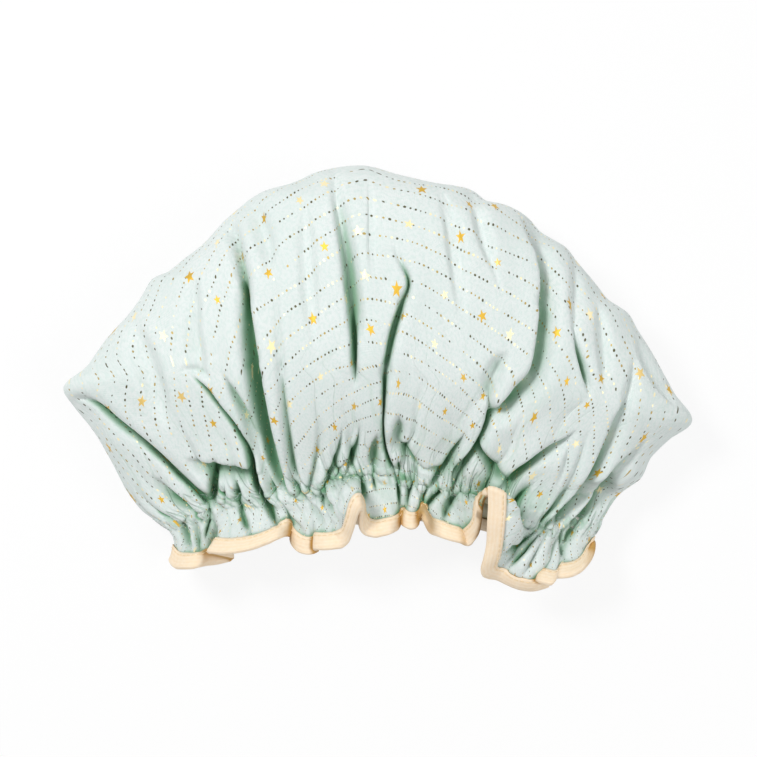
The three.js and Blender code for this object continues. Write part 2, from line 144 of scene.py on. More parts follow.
def noise_line(seed, count, at):
    """Smooth random values from -1 to 1 along a closed line, with count bumps."""
    values = np.random.default_rng(seed).uniform(-1, 1, count)
    x = (np.asarray(at) % 1) * count
    i = np.floor(x).astype(int)
    f = x - i
    f = f * f * (3 - 2 * f)
    return values[i % count] * (1 - f) + values[(i + 1) % count] * f


def noise_field(seed, rows, columns, u, v):
    """The same over a surface: u runs round a closed loop and v from 0 to 1."""
    values = np.random.default_rng(seed).uniform(-1, 1, (rows + 1, columns))
    x = (np.asarray(u) % 1) * columns
    y = np.clip(v, 0, 1) * (rows - TINY)
    i, j = np.floor(x).astype(int), np.floor(y).astype(int)
    f, g = x - i, y - j
    f, g = f * f * (3 - 2 * f), g * g * (3 - 2 * g)
    i0, i1 = i % columns, (i + 1) % columns
    top = values[j, i0] * (1 - f) + values[j, i1] * f
    low = values[j + 1, i0] * (1 - f) + values[j + 1, i1] * f
    return top * (1 - g) + low * g


# %% [markdown]
# The puffed crown comes first, without folds. Four lines run from the middle of the crown to
# the elastic: the left and right outline of the photograph, one over the top and one under
# the cap. A flattened loop joins the four at each of many stations.

# %% The lines of the crown
APEX = (372, 167)
LEFT_OUTLINE = [
    (358, 167), (333, 170), (311, 176), (300, 182), (286, 187), (265, 193), (251, 201),
    (238, 212), (226, 222), (209, 242), (198, 252), (187, 260), (168, 275), (155, 280),
    (144, 298), (130, 317), (112, 336), (87, 368), (65, 388),
]
LEFT_UNDER = [(75, 405), (90, 425), (110, 462), (130, 497), (143, 513), (160, 524)]
RIGHT_OUTLINE = [
    (393, 175), (417, 181), (441, 186), (457, 188), (470, 191), (478, 196), (484, 202),
    (500, 205), (514, 210), (527, 219), (539, 233), (552, 242), (565, 250), (574, 262),
    (587, 277), (597, 289), (606, 300), (619, 308), (627, 314), (635, 329), (645, 345),
    (654, 359), (662, 373), (673, 394), (691, 420),
]
RIGHT_UNDER = [(668, 438), (652, 455), (641, 478), (620, 492), (607, 511), (597, 529)]
CORNER_STATION = {"left": 0.68, "right": 0.72}
APEX_HEIGHT = 33.0
CORNER_HEIGHT = 22.0
ELASTIC_END_HEIGHT = 24.0
# Station, x, y and height of the lines over and under the cap's middle.
OVER_LINE = [
    (0, -3, 100, 33), (0.05, -3, 97, 46), (0.13, -2, 89, 57), (0.3, 0, 66, 67), (0.5, 0, 34, 70),
    (0.7, 0, 2, 67.5), (0.84, 0, -20, 58), (0.93, 0, -34, 48), (1, 0, -46, 41),
]
UNDER_LINE = [
    (0, -3, 100, 33), (0.05, -3, 98, 18), (0.13, -2, 92, 7), (0.3, 0, 67, 1), (0.5, 0, 34, 0.7),
    (0.7, 0, 2, 0.7), (0.84, 0, -20, 2), (0.93, 0, -34, 5), (1, 0, -47, 10),
]


def side_line(name, outline, under, at):
    """The left or right line: down the outline to its corner, then back to the elastic."""
    turning = CORNER_STATION[name]
    heights = [APEX_HEIGHT, CORNER_HEIGHT, ELASTIC_END_HEIGHT]
    pixels = [APEX, *outline, *under]
    first = chord_knots([APEX, *outline]) * turning
    second = turning + chord_knots([outline[-1], *under])[1:] * (1 - turning)
    knots = [*first, *second]
    z = np.interp(knots, [0, turning, 1], heights)
    return through(knots, [from_photo(px, py, h) for (px, py), h in zip(pixels, z)], at)


def middle_line(rows, at):
    rows = np.array(rows, float)
    return through(rows[:, 0], rows[:, 1:], at)


# %% [markdown]
# The mesh is one grid. Its columns run from the crown to the hem and its rows go round the
# loop. The turn of a column is 0 at the right end. It reaches UPPER_SHARE at the left end,
# over the upper side, and goes back to the right under the cap.

# %% The grid
UPPER_COLUMNS = 460
LOWER_COLUMNS = 200
COLUMNS = UPPER_COLUMNS + LOWER_COLUMNS
UPPER_SHARE = UPPER_COLUMNS / COLUMNS
CROWN_ROWS = 150
FRILL_ROWS = 24
FRILL_DEPTH = 26.0
FIRST_STATION = 0.015
ROW_CROWDING = 1.3
LOOP_SAMPLES = 240
FULLNESS = 0.75

turns = np.arange(COLUMNS) / COLUMNS
is_upper = turns < UPPER_SHARE
run_share = np.where(is_upper, turns / UPPER_SHARE, (turns - UPPER_SHARE) / (1 - UPPER_SHARE))
stations = 1 - (1 - np.linspace(0, 1, CROWN_ROWS)) ** ROW_CROWDING
stations = FIRST_STATION + (1 - FIRST_STATION) * stations

# The elastic of the upper run, from left to right: pixel and height.
GATHER_LINE = [
    (160, 524, 24), (176, 522, 28), (192, 518, 31), (207, 507, 34), (222, 500, 36), (248, 500, 37),
    (268, 495, 38), (289, 496, 39), (310, 490, 40), (330, 482, 41), (361, 474, 41),
    (395, 476, 41), (420, 483, 40), (446, 489, 39), (470, 495, 38), (492, 504, 37),
    (512, 520, 35), (530, 529, 33), (548, 531, 32), (564, 525, 30), (580, 525, 27), (597, 529, 24),
]


def half_loop(start, left, right, run):
    angles = start + np.pi * np.arange(LOOP_SAMPLES + 1) / LOOP_SAMPLES
    across = np.cos(angles)[:, None]
    middle = (left + right) / 2
    points = middle + (right - left) / 2 * across + (run - middle) * (1 - across**2)
    level = middle[2] + (right[2] - left[2]) / 2 * across[:, 0]
    points[:, 2] = level + (run[2] - middle[2]) * np.abs(np.sin(angles)) ** FULLNESS
    return points


def along(points, shares):
    return linear(shares, chord_knots(points), points)


def crown_loops(at):
    left = side_line("left", LEFT_OUTLINE, LEFT_UNDER, at)
    right = side_line("right", RIGHT_OUTLINE, RIGHT_UNDER, at)
    over = middle_line(OVER_LINE, at)
    under = middle_line(UNDER_LINE, at)
    loops = np.zeros((len(at), COLUMNS, 3))
    for row in range(len(at)):
        for start, run, chosen in ((0, over[row], is_upper), (np.pi, under[row], ~is_upper)):
            half = half_loop(start, left[row], right[row], run)
            loops[row, chosen] = along(half, run_share[chosen])
    return loops


crown = crown_loops(stations)
GATHER_SAMPLES = 400
GATHER_BLEND = (0.7, 1.0)
gather_points = np.array([from_photo(*p) for p in GATHER_LINE])[::-1]
gather_run = through(chord_knots(gather_points), gather_points,
                     np.linspace(0, 1, GATHER_SAMPLES))
upper_elastic = along(gather_run, run_share[is_upper])
shift = upper_elastic - crown[-1, is_upper]
for row, station in enumerate(stations):
    crown[row, is_upper] += shift * smooth(*GATHER_BLEND, station)
print("crown grid", crown.shape, "loop at the elastic",
      round(float(lengths_along(crown[-1])[-1])), "mm")


# %% Which way is out
def closed_difference(points):
    return np.roll(points, -1, axis=1) - np.roll(points, 1, axis=1)


def unit(vectors):
    return vectors / np.maximum(np.linalg.norm(vectors, axis=-1, keepdims=True), TINY)


def normals_of(points):
    return unit(np.cross(closed_difference(points), np.gradient(points, axis=0)))


def blurred(field, passes, rows_too=True):
    """Softens a grid of numbers: its columns are a closed loop, its rows have two ends."""
    for _ in range(passes):
        field = (np.roll(field, 1, axis=1) + 2 * field + np.roll(field, -1, axis=1)) / 4
        if rows_too:
            padded = np.concatenate([field[:1], field, field[-1:]])
            field = (padded[:-2] + 2 * padded[1:-1] + padded[2:]) / 4
    return field


# %% [markdown]
# Each large fold of the photograph is a line of pixels along the bottom of a valley. The
# valley has a floor of some width and a wall on each side. A steep wall that leans over the
# floor gives the crisp edge of one panel lying on another; a wide wall is a soft roll.

# %% The folds of the photograph
# A line that runs down the photograph has its left wall on the left. First the width and the
# lean of the left and of the right wall in mm, then for each point of the line its pixel, half
# the floor's width in pixels, and its depth in mm.
FOLDS = [
    # The long valleys from the crown to the elastic.
    ((1.3, 1.5), (6, 0), [
        (226, 221, 0.3, 0), (229, 230, 0.5, 5), (233, 246, 0.8, 7), (236, 262, 1, 8),
        (240, 280, 1.2, 9), (244, 298, 1.2, 7), (247, 316, 1, 3), (250, 332, 0.5, 0)]),
    ((7, 0), (1.6, 1.5), [
        (242, 276, 0.3, 0), (245, 290, 0.8, 4), (248, 305, 1.2, 8), (252, 330, 1.8, 12),
        (255.5, 355, 2.2, 14), (260, 380, 2.2, 15), (265, 405, 2.5, 15), (270, 430, 2.8, 15),
        (278, 460, 2.6, 14), (286, 487, 2, 7)]),
    ((2.5, 0.5), (7, 0), [
        (331, 168, 0.3, 1), (335, 200, 1, 4), (340, 230, 1.3, 6), (344, 255, 1.5, 7.5),
        (347, 280, 1.6, 8.5), (350, 305, 1.8, 8.5), (352, 325, 2, 6), (354, 345, 1, 2)]),
    ((2.5, 0.5), (1.6, 1.5), [
        (351, 300, 0.5, 0), (353, 318, 1.5, 3), (354.5, 335, 2.4, 6), (355, 350, 2.4, 7.5),
        (355.5, 362, 1.8, 8), (355.5, 374, 1, 6), (355, 388, 0.3, 0)]),
    ((1.8, 0), (10, 0), [
        (368, 180, 1, 0), (370, 205, 2, 1), (371, 240, 3, 1.3), (372, 285, 2, 0)]),
    ((1.6, 1), (1.6, 0.6), [
        (393, 246, 2, 0), (402, 264, 2, 3), (409, 281, 1.4, 5), (401.5, 305, 2.8, 6.5),
        (394, 330, 3.4, 7.5), (389, 355, 3, 7.5), (385, 380, 2.4, 7.5), (383.8, 405, 1.4, 7),
        (383, 425, 0.8, 7), (385, 447, 1.2, 8), (391, 465, 1.2, 8), (396, 480, 0.8, 4)]),
    ((1.5, 2.5), (9, 0), [
        (522, 216, 1, 0), (528, 230, 1.6, 4), (536, 252, 2.2, 6.5), (541, 280, 2.6, 8.5),
        (540, 310, 2.8, 9.5), (537, 340, 2.8, 9.5), (533, 360, 2.6, 10), (527, 377, 2.2, 10),
        (512, 392, 2, 10), (497, 407, 2, 9), (487, 418, 1, 2)]),
    ((1.5, 2), (3.5, 0), [
        (487, 390, 0.5, 0), (486, 412, 1.6, 6), (481, 430, 1.6, 8), (472, 446, 1.6, 8),
        (461, 459, 1.6, 7), (453, 470, 1.8, 7), (452, 482, 1.5, 4)]),
    ((5, 0), (1.5, 0.8), [
        (508, 352, 0.5, 0), (501, 362, 2, 5), (493, 378, 2.5, 6), (488, 392, 1.5, 5),
        (486, 404, 1, 1)]),
    ((5, 0), (1.5, 2.4), [
        (474, 436, 0.4, 0), (480, 445, 1.2, 7), (489, 457, 1.4, 8), (498, 469, 1.4, 8),
        (504, 479, 0.8, 3)]),
    ((1.5, 2.5), (5, 0), [
        (576, 430, 0.4, 0), (562, 440, 0.8, 4), (545, 449, 1.2, 6), (528, 459, 1.6, 8),
        (514, 469, 2.4, 9), (506, 481, 2, 5)]),
    ((1.5, 1), (3, 0), [
        (572, 322, 0.5, 0), (576, 345, 0.8, 4), (581, 366, 1.2, 7), (586, 384, 0.8, 4),
        (589, 400, 0.5, 0)]),
    ((5, 0), (2, 0), [
        (572, 255, 1, 0), (576, 285, 2, 3), (576, 315, 2, 3), (573, 338, 1, 0)]),
    ((6, 0), (3, 0), [
        (470, 192, 1, 0), (480, 215, 2, 3.5), (487, 244, 2, 3.5), (495, 272, 1, 1),
        (500, 296, 1, 0)]),
    ((6, 0), (6, 0), [
        (440, 190, 2, 0), (452, 225, 4, 2.5), (458, 270, 4, 2.5), (462, 320, 3, 0)]),
    # The right lobe.
    ((1.5, 2.2), (6, 0), [
        (634, 355, 0.3, 0), (630, 375, 1, 3), (625, 398, 1.2, 4), (614, 423, 1.8, 5),
        (601, 450, 2, 6), (589, 472, 2, 7), (574, 492, 2, 8), (556, 512, 2, 8),
        (545, 524, 1, 3)]),
    ((1.5, 1.4), (5, 0), [
        (644, 440, 0.3, 0), (628, 455, 1, 4), (613, 471, 1.4, 6), (600, 489, 1.6, 8),
        (586, 507, 1.8, 8), (570, 523, 1.4, 6), (560, 532, 1, 2)]),
    ((4, 0), (1.5, 1), [
        (588, 425, 0.4, 0), (581, 450, 0.6, 2), (572, 472, 0.8, 3), (559, 495, 1, 5),
        (543, 514, 0.8, 2)]),
    ((1.5, 1), (3, 0), [
        (598, 448, 0.4, 0), (590, 468, 0.6, 2), (578, 488, 0.8, 4), (564, 506, 0.8, 4),
        (550, 521, 0.8, 2)]),
    ((3, 0), (3, 0), [
        (571, 436, 0.4, 0), (566, 455, 0.8, 2), (558, 478, 0.8, 2), (550, 494, 0.4, 0)]),
    ((3, 0), (1.5, 1), [
        (534, 480, 0.4, 0), (525, 492, 1, 3), (517, 503, 1, 4), (509, 512, 0.6, 1)]),
    ((1.6, 0.5), (7, 0), [
        (636, 335, 0.5, 0), (640, 355, 1.5, 3), (651, 377, 1.5, 4), (664, 394, 1.5, 3),
        (674, 404, 0.5, 0)]),
    ((8, 0), (3, 0), [
        (600, 478, 1, 0), (608, 486, 2, 4), (603, 500, 2, 4), (594, 512, 1, 0)]),
    ((6, 0), (2, 0), [
        (598, 300, 1, 0), (604, 330, 2, 4), (606, 360, 2, 4), (602, 390, 1, 0)]),
    # The left lobe and the panels beside it.
    ((1.2, 5.5), (5.5, -1.5), [
        (69, 398, 0.3, 0), (81, 404, 0.6, 5), (95, 415, 1, 9), (110, 428, 1, 11),
        (128, 442, 1, 12), (144, 455, 1, 12), (160, 469, 1, 12), (176, 484, 1, 11),
        (190, 497, 1.2, 10), (200, 508, 1.2, 10), (208, 518, 0.8, 4)]),
    ((6, 0), (2.5, 0.6), [
        (146, 479, 0.5, 0), (160, 492, 1, 3), (173, 503, 1.2, 4), (183, 512, 1, 4),
        (190, 520, 0.5, 2)]),
    ((6, 0), (1.5, 2), [
        (183, 460, 1, 0), (203, 465, 2, 6), (218, 467, 3, 9), (232, 469, 3, 9),
        (246, 471, 2.5, 8), (256, 473, 1.5, 2)]),
    ((2.2, 0.8), (2.2, 0.8), [
        (214, 467, 2, 4), (213, 480, 3, 10), (212, 495, 3, 10), (214, 510, 1, 2)]),
    ((1.6, 1), (1.6, 1), [
        (190, 375, 0.3, 0), (203, 386, 0.6, 4), (220, 407, 1, 7), (236, 426, 1.6, 10),
        (246, 444, 2, 13), (252, 462, 2.5, 15), (256, 480, 3, 15), (263, 495, 3, 14),
        (273, 512, 2, 7), (278, 522, 1, 2)]),
    ((3, 0), (1.6, 0.4), [
        (222, 372, 0.5, 0), (235, 392, 1.5, 5), (246, 412, 1.8, 7), (254, 434, 1.5, 7),
        (262, 460, 1, 5), (270, 480, 0.8, 4), (277, 496, 0.8, 5), (279, 510, 0.6, 2)]),
    ((6, 0), (6, 0), [
        (130, 312, 1, 0), (140, 345, 3, 4), (150, 375, 4, 5), (158, 400, 4, 4),
        (167, 430, 2, 0)]),
    ((7, 0), (3, 0), [
        (194, 268, 1, 0), (195, 300, 2, 3), (195, 330, 2, 4), (199, 355, 2, 4),
        (206, 380, 1, 0)]),
    ((1.5, 0.5), (3, 0), [
        (180, 368, 0.5, 0), (192, 371, 1, 4), (204, 374, 1, 3), (212, 378, 0.5, 0)]),
    ((5, 0), (5, 0), [
        (251, 198, 1, 0), (259, 222, 3, 4), (266, 245, 3, 4), (271, 275, 1, 0)]),
    ((4, 0), (1.4, 0.5), [
        (277, 285, 0.6, 0), (279, 320, 0.8, 2), (282.5, 355, 0.8, 3), (286, 395, 0.8, 4),
        (291, 430, 0.8, 5), (297, 466, 0.8, 6), (303, 492, 0.8, 3)]),
    ((7, 0), (7, 0), [
        (305, 190, 1, 0), (306, 240, 3, 2.5), (310, 300, 3, 2.5), (318, 360, 2, 0)]),
    # Short creases where the elastic crushes the cloth.
    ((1.4, 0.4), (2.5, 0), [
        (342, 425, 0.3, 0), (338, 447, 0.6, 4), (332, 468, 0.8, 5), (326, 486, 0.8, 4)]),
    ((1.2, 0.4), (1.2, 0), [
        (336, 448, 0.3, 0), (330, 466, 0.5, 3), (322, 486, 0.6, 3)]),
    ((1.2, 0.4), (1.2, 0), [
        (346, 455, 0.3, 0), (340, 468, 0.5, 3), (334, 482, 0.6, 3)]),
    ((2, 0.4), (1.4, 0.8), [
        (360, 412, 0.3, 0), (359, 432, 0.4, 2), (355, 450, 1.4, 5), (351, 461, 2.2, 7),
        (347, 469, 1, 2)]),
    ((1.4, 0.5), (4, 0), [
        (376, 430, 0.4, 0), (372, 446, 1.6, 5), (371, 458, 1.8, 6), (373, 470, 1, 2)]),
    ((2.5, 0), (4, 0), [
        (399, 412, 0.5, 0), (398, 430, 1.6, 6), (396, 442, 1.2, 6), (406, 453, 0.8, 6),
        (410, 465, 0.8, 5), (411, 480, 0.8, 3)]),
    ((1.2, 0.4), (1.2, 0), [
        (404, 446, 0.3, 0), (411, 456, 0.5, 4), (418, 464, 0.5, 4), (424, 468, 0.4, 1)]),
    ((1.2, 0.4), (1.4, 0), [
        (398, 456, 0.4, 0), (399, 466, 1, 5), (400, 475, 0.6, 2)]),
    ((1.4, 0.8), (1.2, 0), [
        (417, 469, 0.4, 0), (428, 467, 0.8, 4), (438, 468, 0.8, 5), (446, 464, 0.4, 1)]),
    ((1.4, 1.2), (3, 0), [
        (465, 431, 0.4, 0), (454, 446, 0.8, 4), (443, 463, 1.2, 6), (432, 479, 1.4, 6),
        (427, 489, 0.8, 3)]),
    ((1.4, 0.5), (1.6, 0.8), [
        (476, 443, 0.4, 0), (470, 456, 1, 5), (463, 469, 1, 6), (457, 482, 0.8, 4)]),
    ((1.4, 0.5), (4, 0), [
        (318, 415, 0.3, 0), (317, 440, 0.6, 2), (314, 466, 0.8, 4), (310, 486, 0.8, 3)]),
    ((3, 0), (1.4, 0.6), [
        (233, 478, 0.5, 0), (238, 488, 1, 5), (241, 500, 1, 4), (242, 508, 0.5, 1)]),
    ((1.3, 0.4), (1.3, 0), [
        (222, 474, 0.3, 0), (225, 487, 0.5, 3), (226, 500, 0.5, 2)]),
]
# The same for the frill below the elastic.
FRILL_FOLDS = [
    ((1.5, 0.5), (3, 0), [
        (180, 517, 0.5, 1), (183, 530, 1.2, 5), (187, 543, 1.4, 5), (194, 552, 0.8, 1)]),
    ((3, 0), (2, 0.5), [
        (192, 520, 0.8, 1), (198, 536, 1.6, 5), (203, 549, 1.6, 4), (206, 556, 1, 1)]),
    ((1.5, 0.8), (1.5, 0.8), [
        (203, 509, 0.8, 2), (208, 520, 1, 6), (207, 532, 0.8, 4), (206, 540, 0.6, 0)]),
    ((3, 0), (1.5, 1), [
        (240, 500, 0.6, 2), (245, 516, 1.4, 5), (250, 529, 1.4, 4), (253, 536, 0.6, 0)]),
    ((3, 0), (1.5, 1), [
        (264, 495, 1.6, 5), (272, 509, 2, 7), (279, 522, 1.6, 6), (284, 532, 1, 1)]),
    ((1.4, 0.4), (3, 0), [
        (286, 506, 0.4, 0), (292, 520, 0.8, 3), (300, 530, 0.8, 4), (310, 540, 0.6, 0)]),
    ((1.3, 0.6), (1.3, 0.6), [
        (325, 485, 0.6, 2), (328, 499, 1, 5), (334, 511, 1, 5), (339, 526, 0.8, 1)]),
    ((1.3, 0.6), (1.3, 0), [
        (320, 487, 0.4, 2), (322, 498, 0.6, 3), (327, 510, 0.4, 0)]),
    ((3, 0), (1.4, 0.8), [
        (309, 500, 0.6, 0), (316, 510, 2, 3), (322, 520, 2, 3), (326, 528, 0.6, 0)]),
    ((1.4, 0.8), (2, 0), [
        (360, 474, 0.8, 3), (361, 487, 1, 5), (364, 500, 0.8, 2), (365, 508, 0.4, 0)]),
    ((2.5, 0), (1.4, 0.5), [
        (371, 474, 0.6, 2), (374, 484, 0.8, 3), (377, 494, 0.5, 0)]),
    ((1.4, 1), (2, 0), [
        (396, 478, 0.8, 3), (398, 493, 1.2, 5), (399, 507, 0.8, 1)]),
    ((2, 0), (1.4, 1), [
        (413, 482, 0.8, 3), (409, 495, 1.2, 5), (405, 508, 0.8, 1)]),
    ((2, 0), (1.4, 1), [
        (427, 486, 0.8, 3), (424, 499, 1.2, 5), (423, 511, 0.8, 1)]),
    ((2, 0), (1.4, 1.4), [
        (449, 483, 0.8, 3), (439, 495, 1.4, 6), (430, 506, 1.2, 5), (424, 514, 0.6, 0)]),
    ((3, 0), (1.5, 1), [
        (460, 490, 0.8, 2), (453, 503, 1.6, 5), (446, 516, 1.4, 3), (443, 522, 0.6, 0)]),
    ((1.3, 0.6), (2, 0), [
        (530, 533, 0.6, 2), (518, 543, 1, 4), (505, 553, 0.8, 3), (497, 560, 0.4, 0)]),
    ((1.3, 0.6), (2, 0), [
        (534, 540, 0.6, 2), (522, 553, 1, 4), (510, 566, 0.8, 3), (504, 574, 0.4, 0)]),
    ((1.3, 0.6), (2, 0), [
        (540, 545, 0.6, 2), (532, 560, 1, 4), (524, 574, 0.8, 3), (520, 582, 0.4, 0)]),
    ((2, 0), (1.3, 0.6), [
        (561, 530, 0.6, 2), (562, 543, 1, 4), (564, 555, 0.8, 3), (566, 562, 0.4, 0)]),
    ((1.3, 0.6), (2, 0), [
        (577, 526, 0.6, 3), (570, 534, 1.2, 5), (566, 543, 0.8, 2), (564, 549, 0.4, 0)]),
]
FOLD_SAMPLES = 90
# How far a fold acts sideways, in pixels, and beyond its ends and over its wall, in mm.
FOLD_REACH = 30 / MM_PER_PIXEL
END_FADE = 4.0
LEAN_REACH = 9.0
# The cloth swells a little beside a valley: by a share of its depth, and where, in mm.
CREST_RISE = 0.1
CREST_SHIFT = 3.0
CREST_WIDTH = 4.0
# Where a fold is shallow, its walls are narrower and lean less.
FULL_WALL_DEPTH = 6.0
LEAST_WALL = 0.15
FULL_LEAN_DEPTH = 8.0


def fold_offsets(folds, points, normals, upward):
    """How folds move the points of the cloth: down into valleys and over their floors."""
    moved = np.zeros_like(points)
    pixels = to_photo(points)
    for left, right, rows in folds:
        rows = np.array(rows, float)
        path = through(chord_knots(rows[:, :2]), rows, np.linspace(0, 1, FOLD_SAMPLES))
        line = path[:, :2]
        in_box = (pixels > line.min(0) - FOLD_REACH) & (pixels < line.max(0) + FOLD_REACH)
        near = in_box.all(-1) & (upward > 0)
        gap = np.linalg.norm(pixels[near][:, None] - line, axis=-1)
        closest = gap.argmin(1)
        off = pixels[near] - line[closest]
        ahead = unit(np.gradient(line, axis=0))[closest]
        past = (ahead * off).sum(1) * MM_PER_PIXEL
        across = (ahead[:, 1] * off[:, 0] - ahead[:, 0] * off[:, 1]) * MM_PER_PIXEL
        half_floor = path[closest, 2] * MM_PER_PIXEL
        depth = np.maximum(path[closest, 3], 0)
        fade = upward[near] * np.exp(-((past / END_FADE) ** 2))
        wall_share = np.minimum(1, depth / FULL_WALL_DEPTH + LEAST_WALL)
        valley, crest, slide = 1, 0, 0
        for side, (wall, lean) in ((-1, left), (1, right)):
            away = across * side
            top = half_floor + wall * wall_share
            inside = 1 - smooth(half_floor, top, away)
            valley = valley * inside
            swell = np.exp(-(((away - top - CREST_SHIFT) / CREST_WIDTH) ** 2))
            crest = crest + swell * (away > top - CREST_SHIFT)
            leaning = np.where(away > top, np.exp((top - away) / LEAN_REACH), 1 - inside)
            slide = slide - side * lean * leaning * (away > 0)
        slide = slide * np.minimum(1, depth / FULL_LEAN_DEPTH) * fade
        change = normals[near] * ((CREST_RISE * crest - valley) * depth * fade)[:, None]
        change[:, :2] += ahead[:, ::-1] * slide[:, None]
        moved[near] += change
    return moved


# How much of a normal points up where the drawn folds fade in, where the folds of the turned
# sides fade out, and where the wrinkles of the unseen sides end.
FACING_UP = (0.0, 0.4)
FACING_SIDEWAYS = (-0.55, 0.25)
FACING_DOWN = (-0.25, 0.3)
NORMAL_BLUR = 6
crown_normals = blurred(normals_of(crown), NORMAL_BLUR)
crown_out = unit(crown_normals)
facing = crown_normals[..., 2]
upward = smooth(*FACING_UP, facing) * is_upper
turned_away = (1 - smooth(*FACING_SIDEWAYS, facing)) * is_upper
folded = crown + fold_offsets(FOLDS, crown, crown_out, upward)
print("folds", len(FOLDS), "deepest", round(float((crown - folded)[..., 2].max()), 1), "mm")

# %% [markdown]
# The elastic crushes the cloth into fine gathers. They merge two by two on their way to the
# crown, so each level of waves is twice as wide as the last one and reaches further. Wide
# crests with narrow valleys between them look like cloth; plain sine waves look like a shell.

# %% Where the gathers start
FINE_GATHERS = {True: 44, False: 24}
# Seed, number of bumps and size of the noises that space the gathers unevenly.
SPACING_NOISES = [(11, 47, 0.9), (12, 19, 1.2)]
# The last share of each run, where the gathers are calmer, and how high they stay there.
CALM_ENDS = 0.05
LEAST_GATHER = 0.35

gather_phase = np.zeros(COLUMNS)
for upper in (True, False):
    chosen = is_upper == upper
    jitter = sum(size * noise_line(seed, count, turns[chosen])
                 for seed, count, size in SPACING_NOISES)
    fade = np.sin(np.pi * run_share[chosen]) ** 0.5
    gather_phase[chosen] = FINE_GATHERS[upper] * run_share[chosen] + jitter * fade
gather_phase[~is_upper] += FINE_GATHERS[True]
to_end = np.minimum(run_share, 1 - run_share)
end_calm = LEAST_GATHER + (1 - LEAST_GATHER) * smooth(0, CALM_ENDS, to_end)

from_crown = lengths_along(crown)
to_elastic = from_crown[-1] - from_crown
turn_grid = np.broadcast_to(turns, to_elastic.shape)
station_grid = np.broadcast_to(stations[:, None], to_elastic.shape)
print("finest gathers", sum(FINE_GATHERS.values()))

# %% Gathers that merge
# Wave width against the finest, height in mm, where it peaks and how far it reaches in mm.
GATHER_LEVELS = [
    (0.5, 0.4, 0, 4), (1, 1.7, 0, 10), (2, 2.2, 4, 17), (4, 1.8, 14, 26), (8, 1.0, 40, 45),
]
# The unseen lower side and the sides get softer folds of their own: the same numbers.
LOWER_LEVEL = (2, 2.6, 70, 85)
SIDE_LEVEL = (3, 2.4, 130, 75)
CREST_POWER = 0.42
CREST_MEAN = 0.81
# Each level has its own noise: it wanders, and its height and reach vary from patch to patch.
WANDER_SEED, HEIGHT_SEED, REACH_SEED = 20, 30, 50
WANDER = 0.16
WANDER_CELLS = (4, 23)
WANDER_LENGTH = 120
MEAN_HEIGHT, HEIGHT_RANGE = 0.8, 0.75
HEIGHT_LENGTH = 150
REACH_RANGE = 0.6
PATCHES, LEAST_PATCHES, PATCH_ROWS = 90, 7, 5
TOWARDS_ELASTIC = 0.9
# The middle of the crown is one smooth piece of cloth, where no gather arrives.
SMOOTH_MIDDLE = (0.04, 0.24)


def crests(phase):
    wave = np.abs(np.sin(np.pi * phase)) ** CREST_POWER
    return 2 * (wave - CREST_MEAN)


def patch_count(width):
    return int(PATCHES / width) + LEAST_PATCHES


def patch_heights(level, width, turn_grid, place):
    noise = noise_field(HEIGHT_SEED + level, PATCH_ROWS, patch_count(width), turn_grid, place)
    return MEAN_HEIGHT + HEIGHT_RANGE * noise


def level_fade(distance, peak, reach):
    """1 where a level of waves peaks, and less nearer to the elastic and further from it."""
    spread = np.where(distance < peak, max(peak, 1) * TOWARDS_ELASTIC, reach)
    return np.exp(-(((distance - peak) / spread) ** 2))


def gather_height(distance, turn_grid):
    height = np.zeros_like(distance)
    levels = [(*row, 1) for row in GATHER_LEVELS]
    levels += [(*LOWER_LEVEL, ~is_upper), (*SIDE_LEVEL, turned_away)]
    for level, (width, size, peak, reach, where) in enumerate(levels):
        wander = WANDER * noise_field(WANDER_SEED + level, *WANDER_CELLS, turn_grid,
                                      distance / WANDER_LENGTH)
        longer = 1 + REACH_RANGE * noise_line(REACH_SEED + level, patch_count(width), turns)
        strength = size * level_fade(distance, peak, reach * longer) * where
        strength = strength * patch_heights(level, width, turn_grid, distance / HEIGHT_LENGTH)
        height += crests(gather_phase / width + wander) * strength
    return height


gathers = gather_height(to_elastic, turn_grid) * end_calm * smooth(*SMOOTH_MIDDLE, station_grid)
folded += crown_out * gathers[..., None]
print("gathers up to", round(float(gathers.max()), 1), "mm high")

# %% [markdown]
# The sides, the back and the lower side aren't in the photograph. They get wrinkles along the
# lines where a stretched noise is zero, and the cloth puffs up between them.

# %% Wrinkles of the unseen sides
WRINKLE_DEPTH = 3.6
WRINKLE_WIDTH = 0.24
WRINKLE_TWIST = 0.05
# Seed, rows and bumps round of the two noises, and the size of the finer one.
WRINKLE_CELLS = (91, 5, 27)
FINE_CELLS = (92, 9, 41)
FINE_SHARE = 0.35
PUFF_LIMIT = 0.6
PUFF_HEIGHT = 1.8
# They fade out at the crown, by station, and at the elastic, in mm.
CROWN_FADE = (0.08, 0.35)
ELASTIC_FADE = (10, 35)
twisted = turn_grid + WRINKLE_TWIST * station_grid
wrinkle_noise = noise_field(*WRINKLE_CELLS, twisted, station_grid)
wrinkle_noise += FINE_SHARE * noise_field(*FINE_CELLS, turn_grid, station_grid)
wrinkles = np.minimum(np.abs(wrinkle_noise), PUFF_LIMIT) * PUFF_HEIGHT
wrinkles -= np.exp(-((wrinkle_noise / WRINKLE_WIDTH) ** 2)) * WRINKLE_DEPTH
wrinkles *= 1 - smooth(*FACING_DOWN, facing)
wrinkles *= smooth(*CROWN_FADE, station_grid) * smooth(*ELASTIC_FADE, to_elastic)
folded += crown_out * wrinkles[..., None]
print("wrinkles", round(float(wrinkles.min()), 1), "to", round(float(wrinkles.max()), 1), "mm")
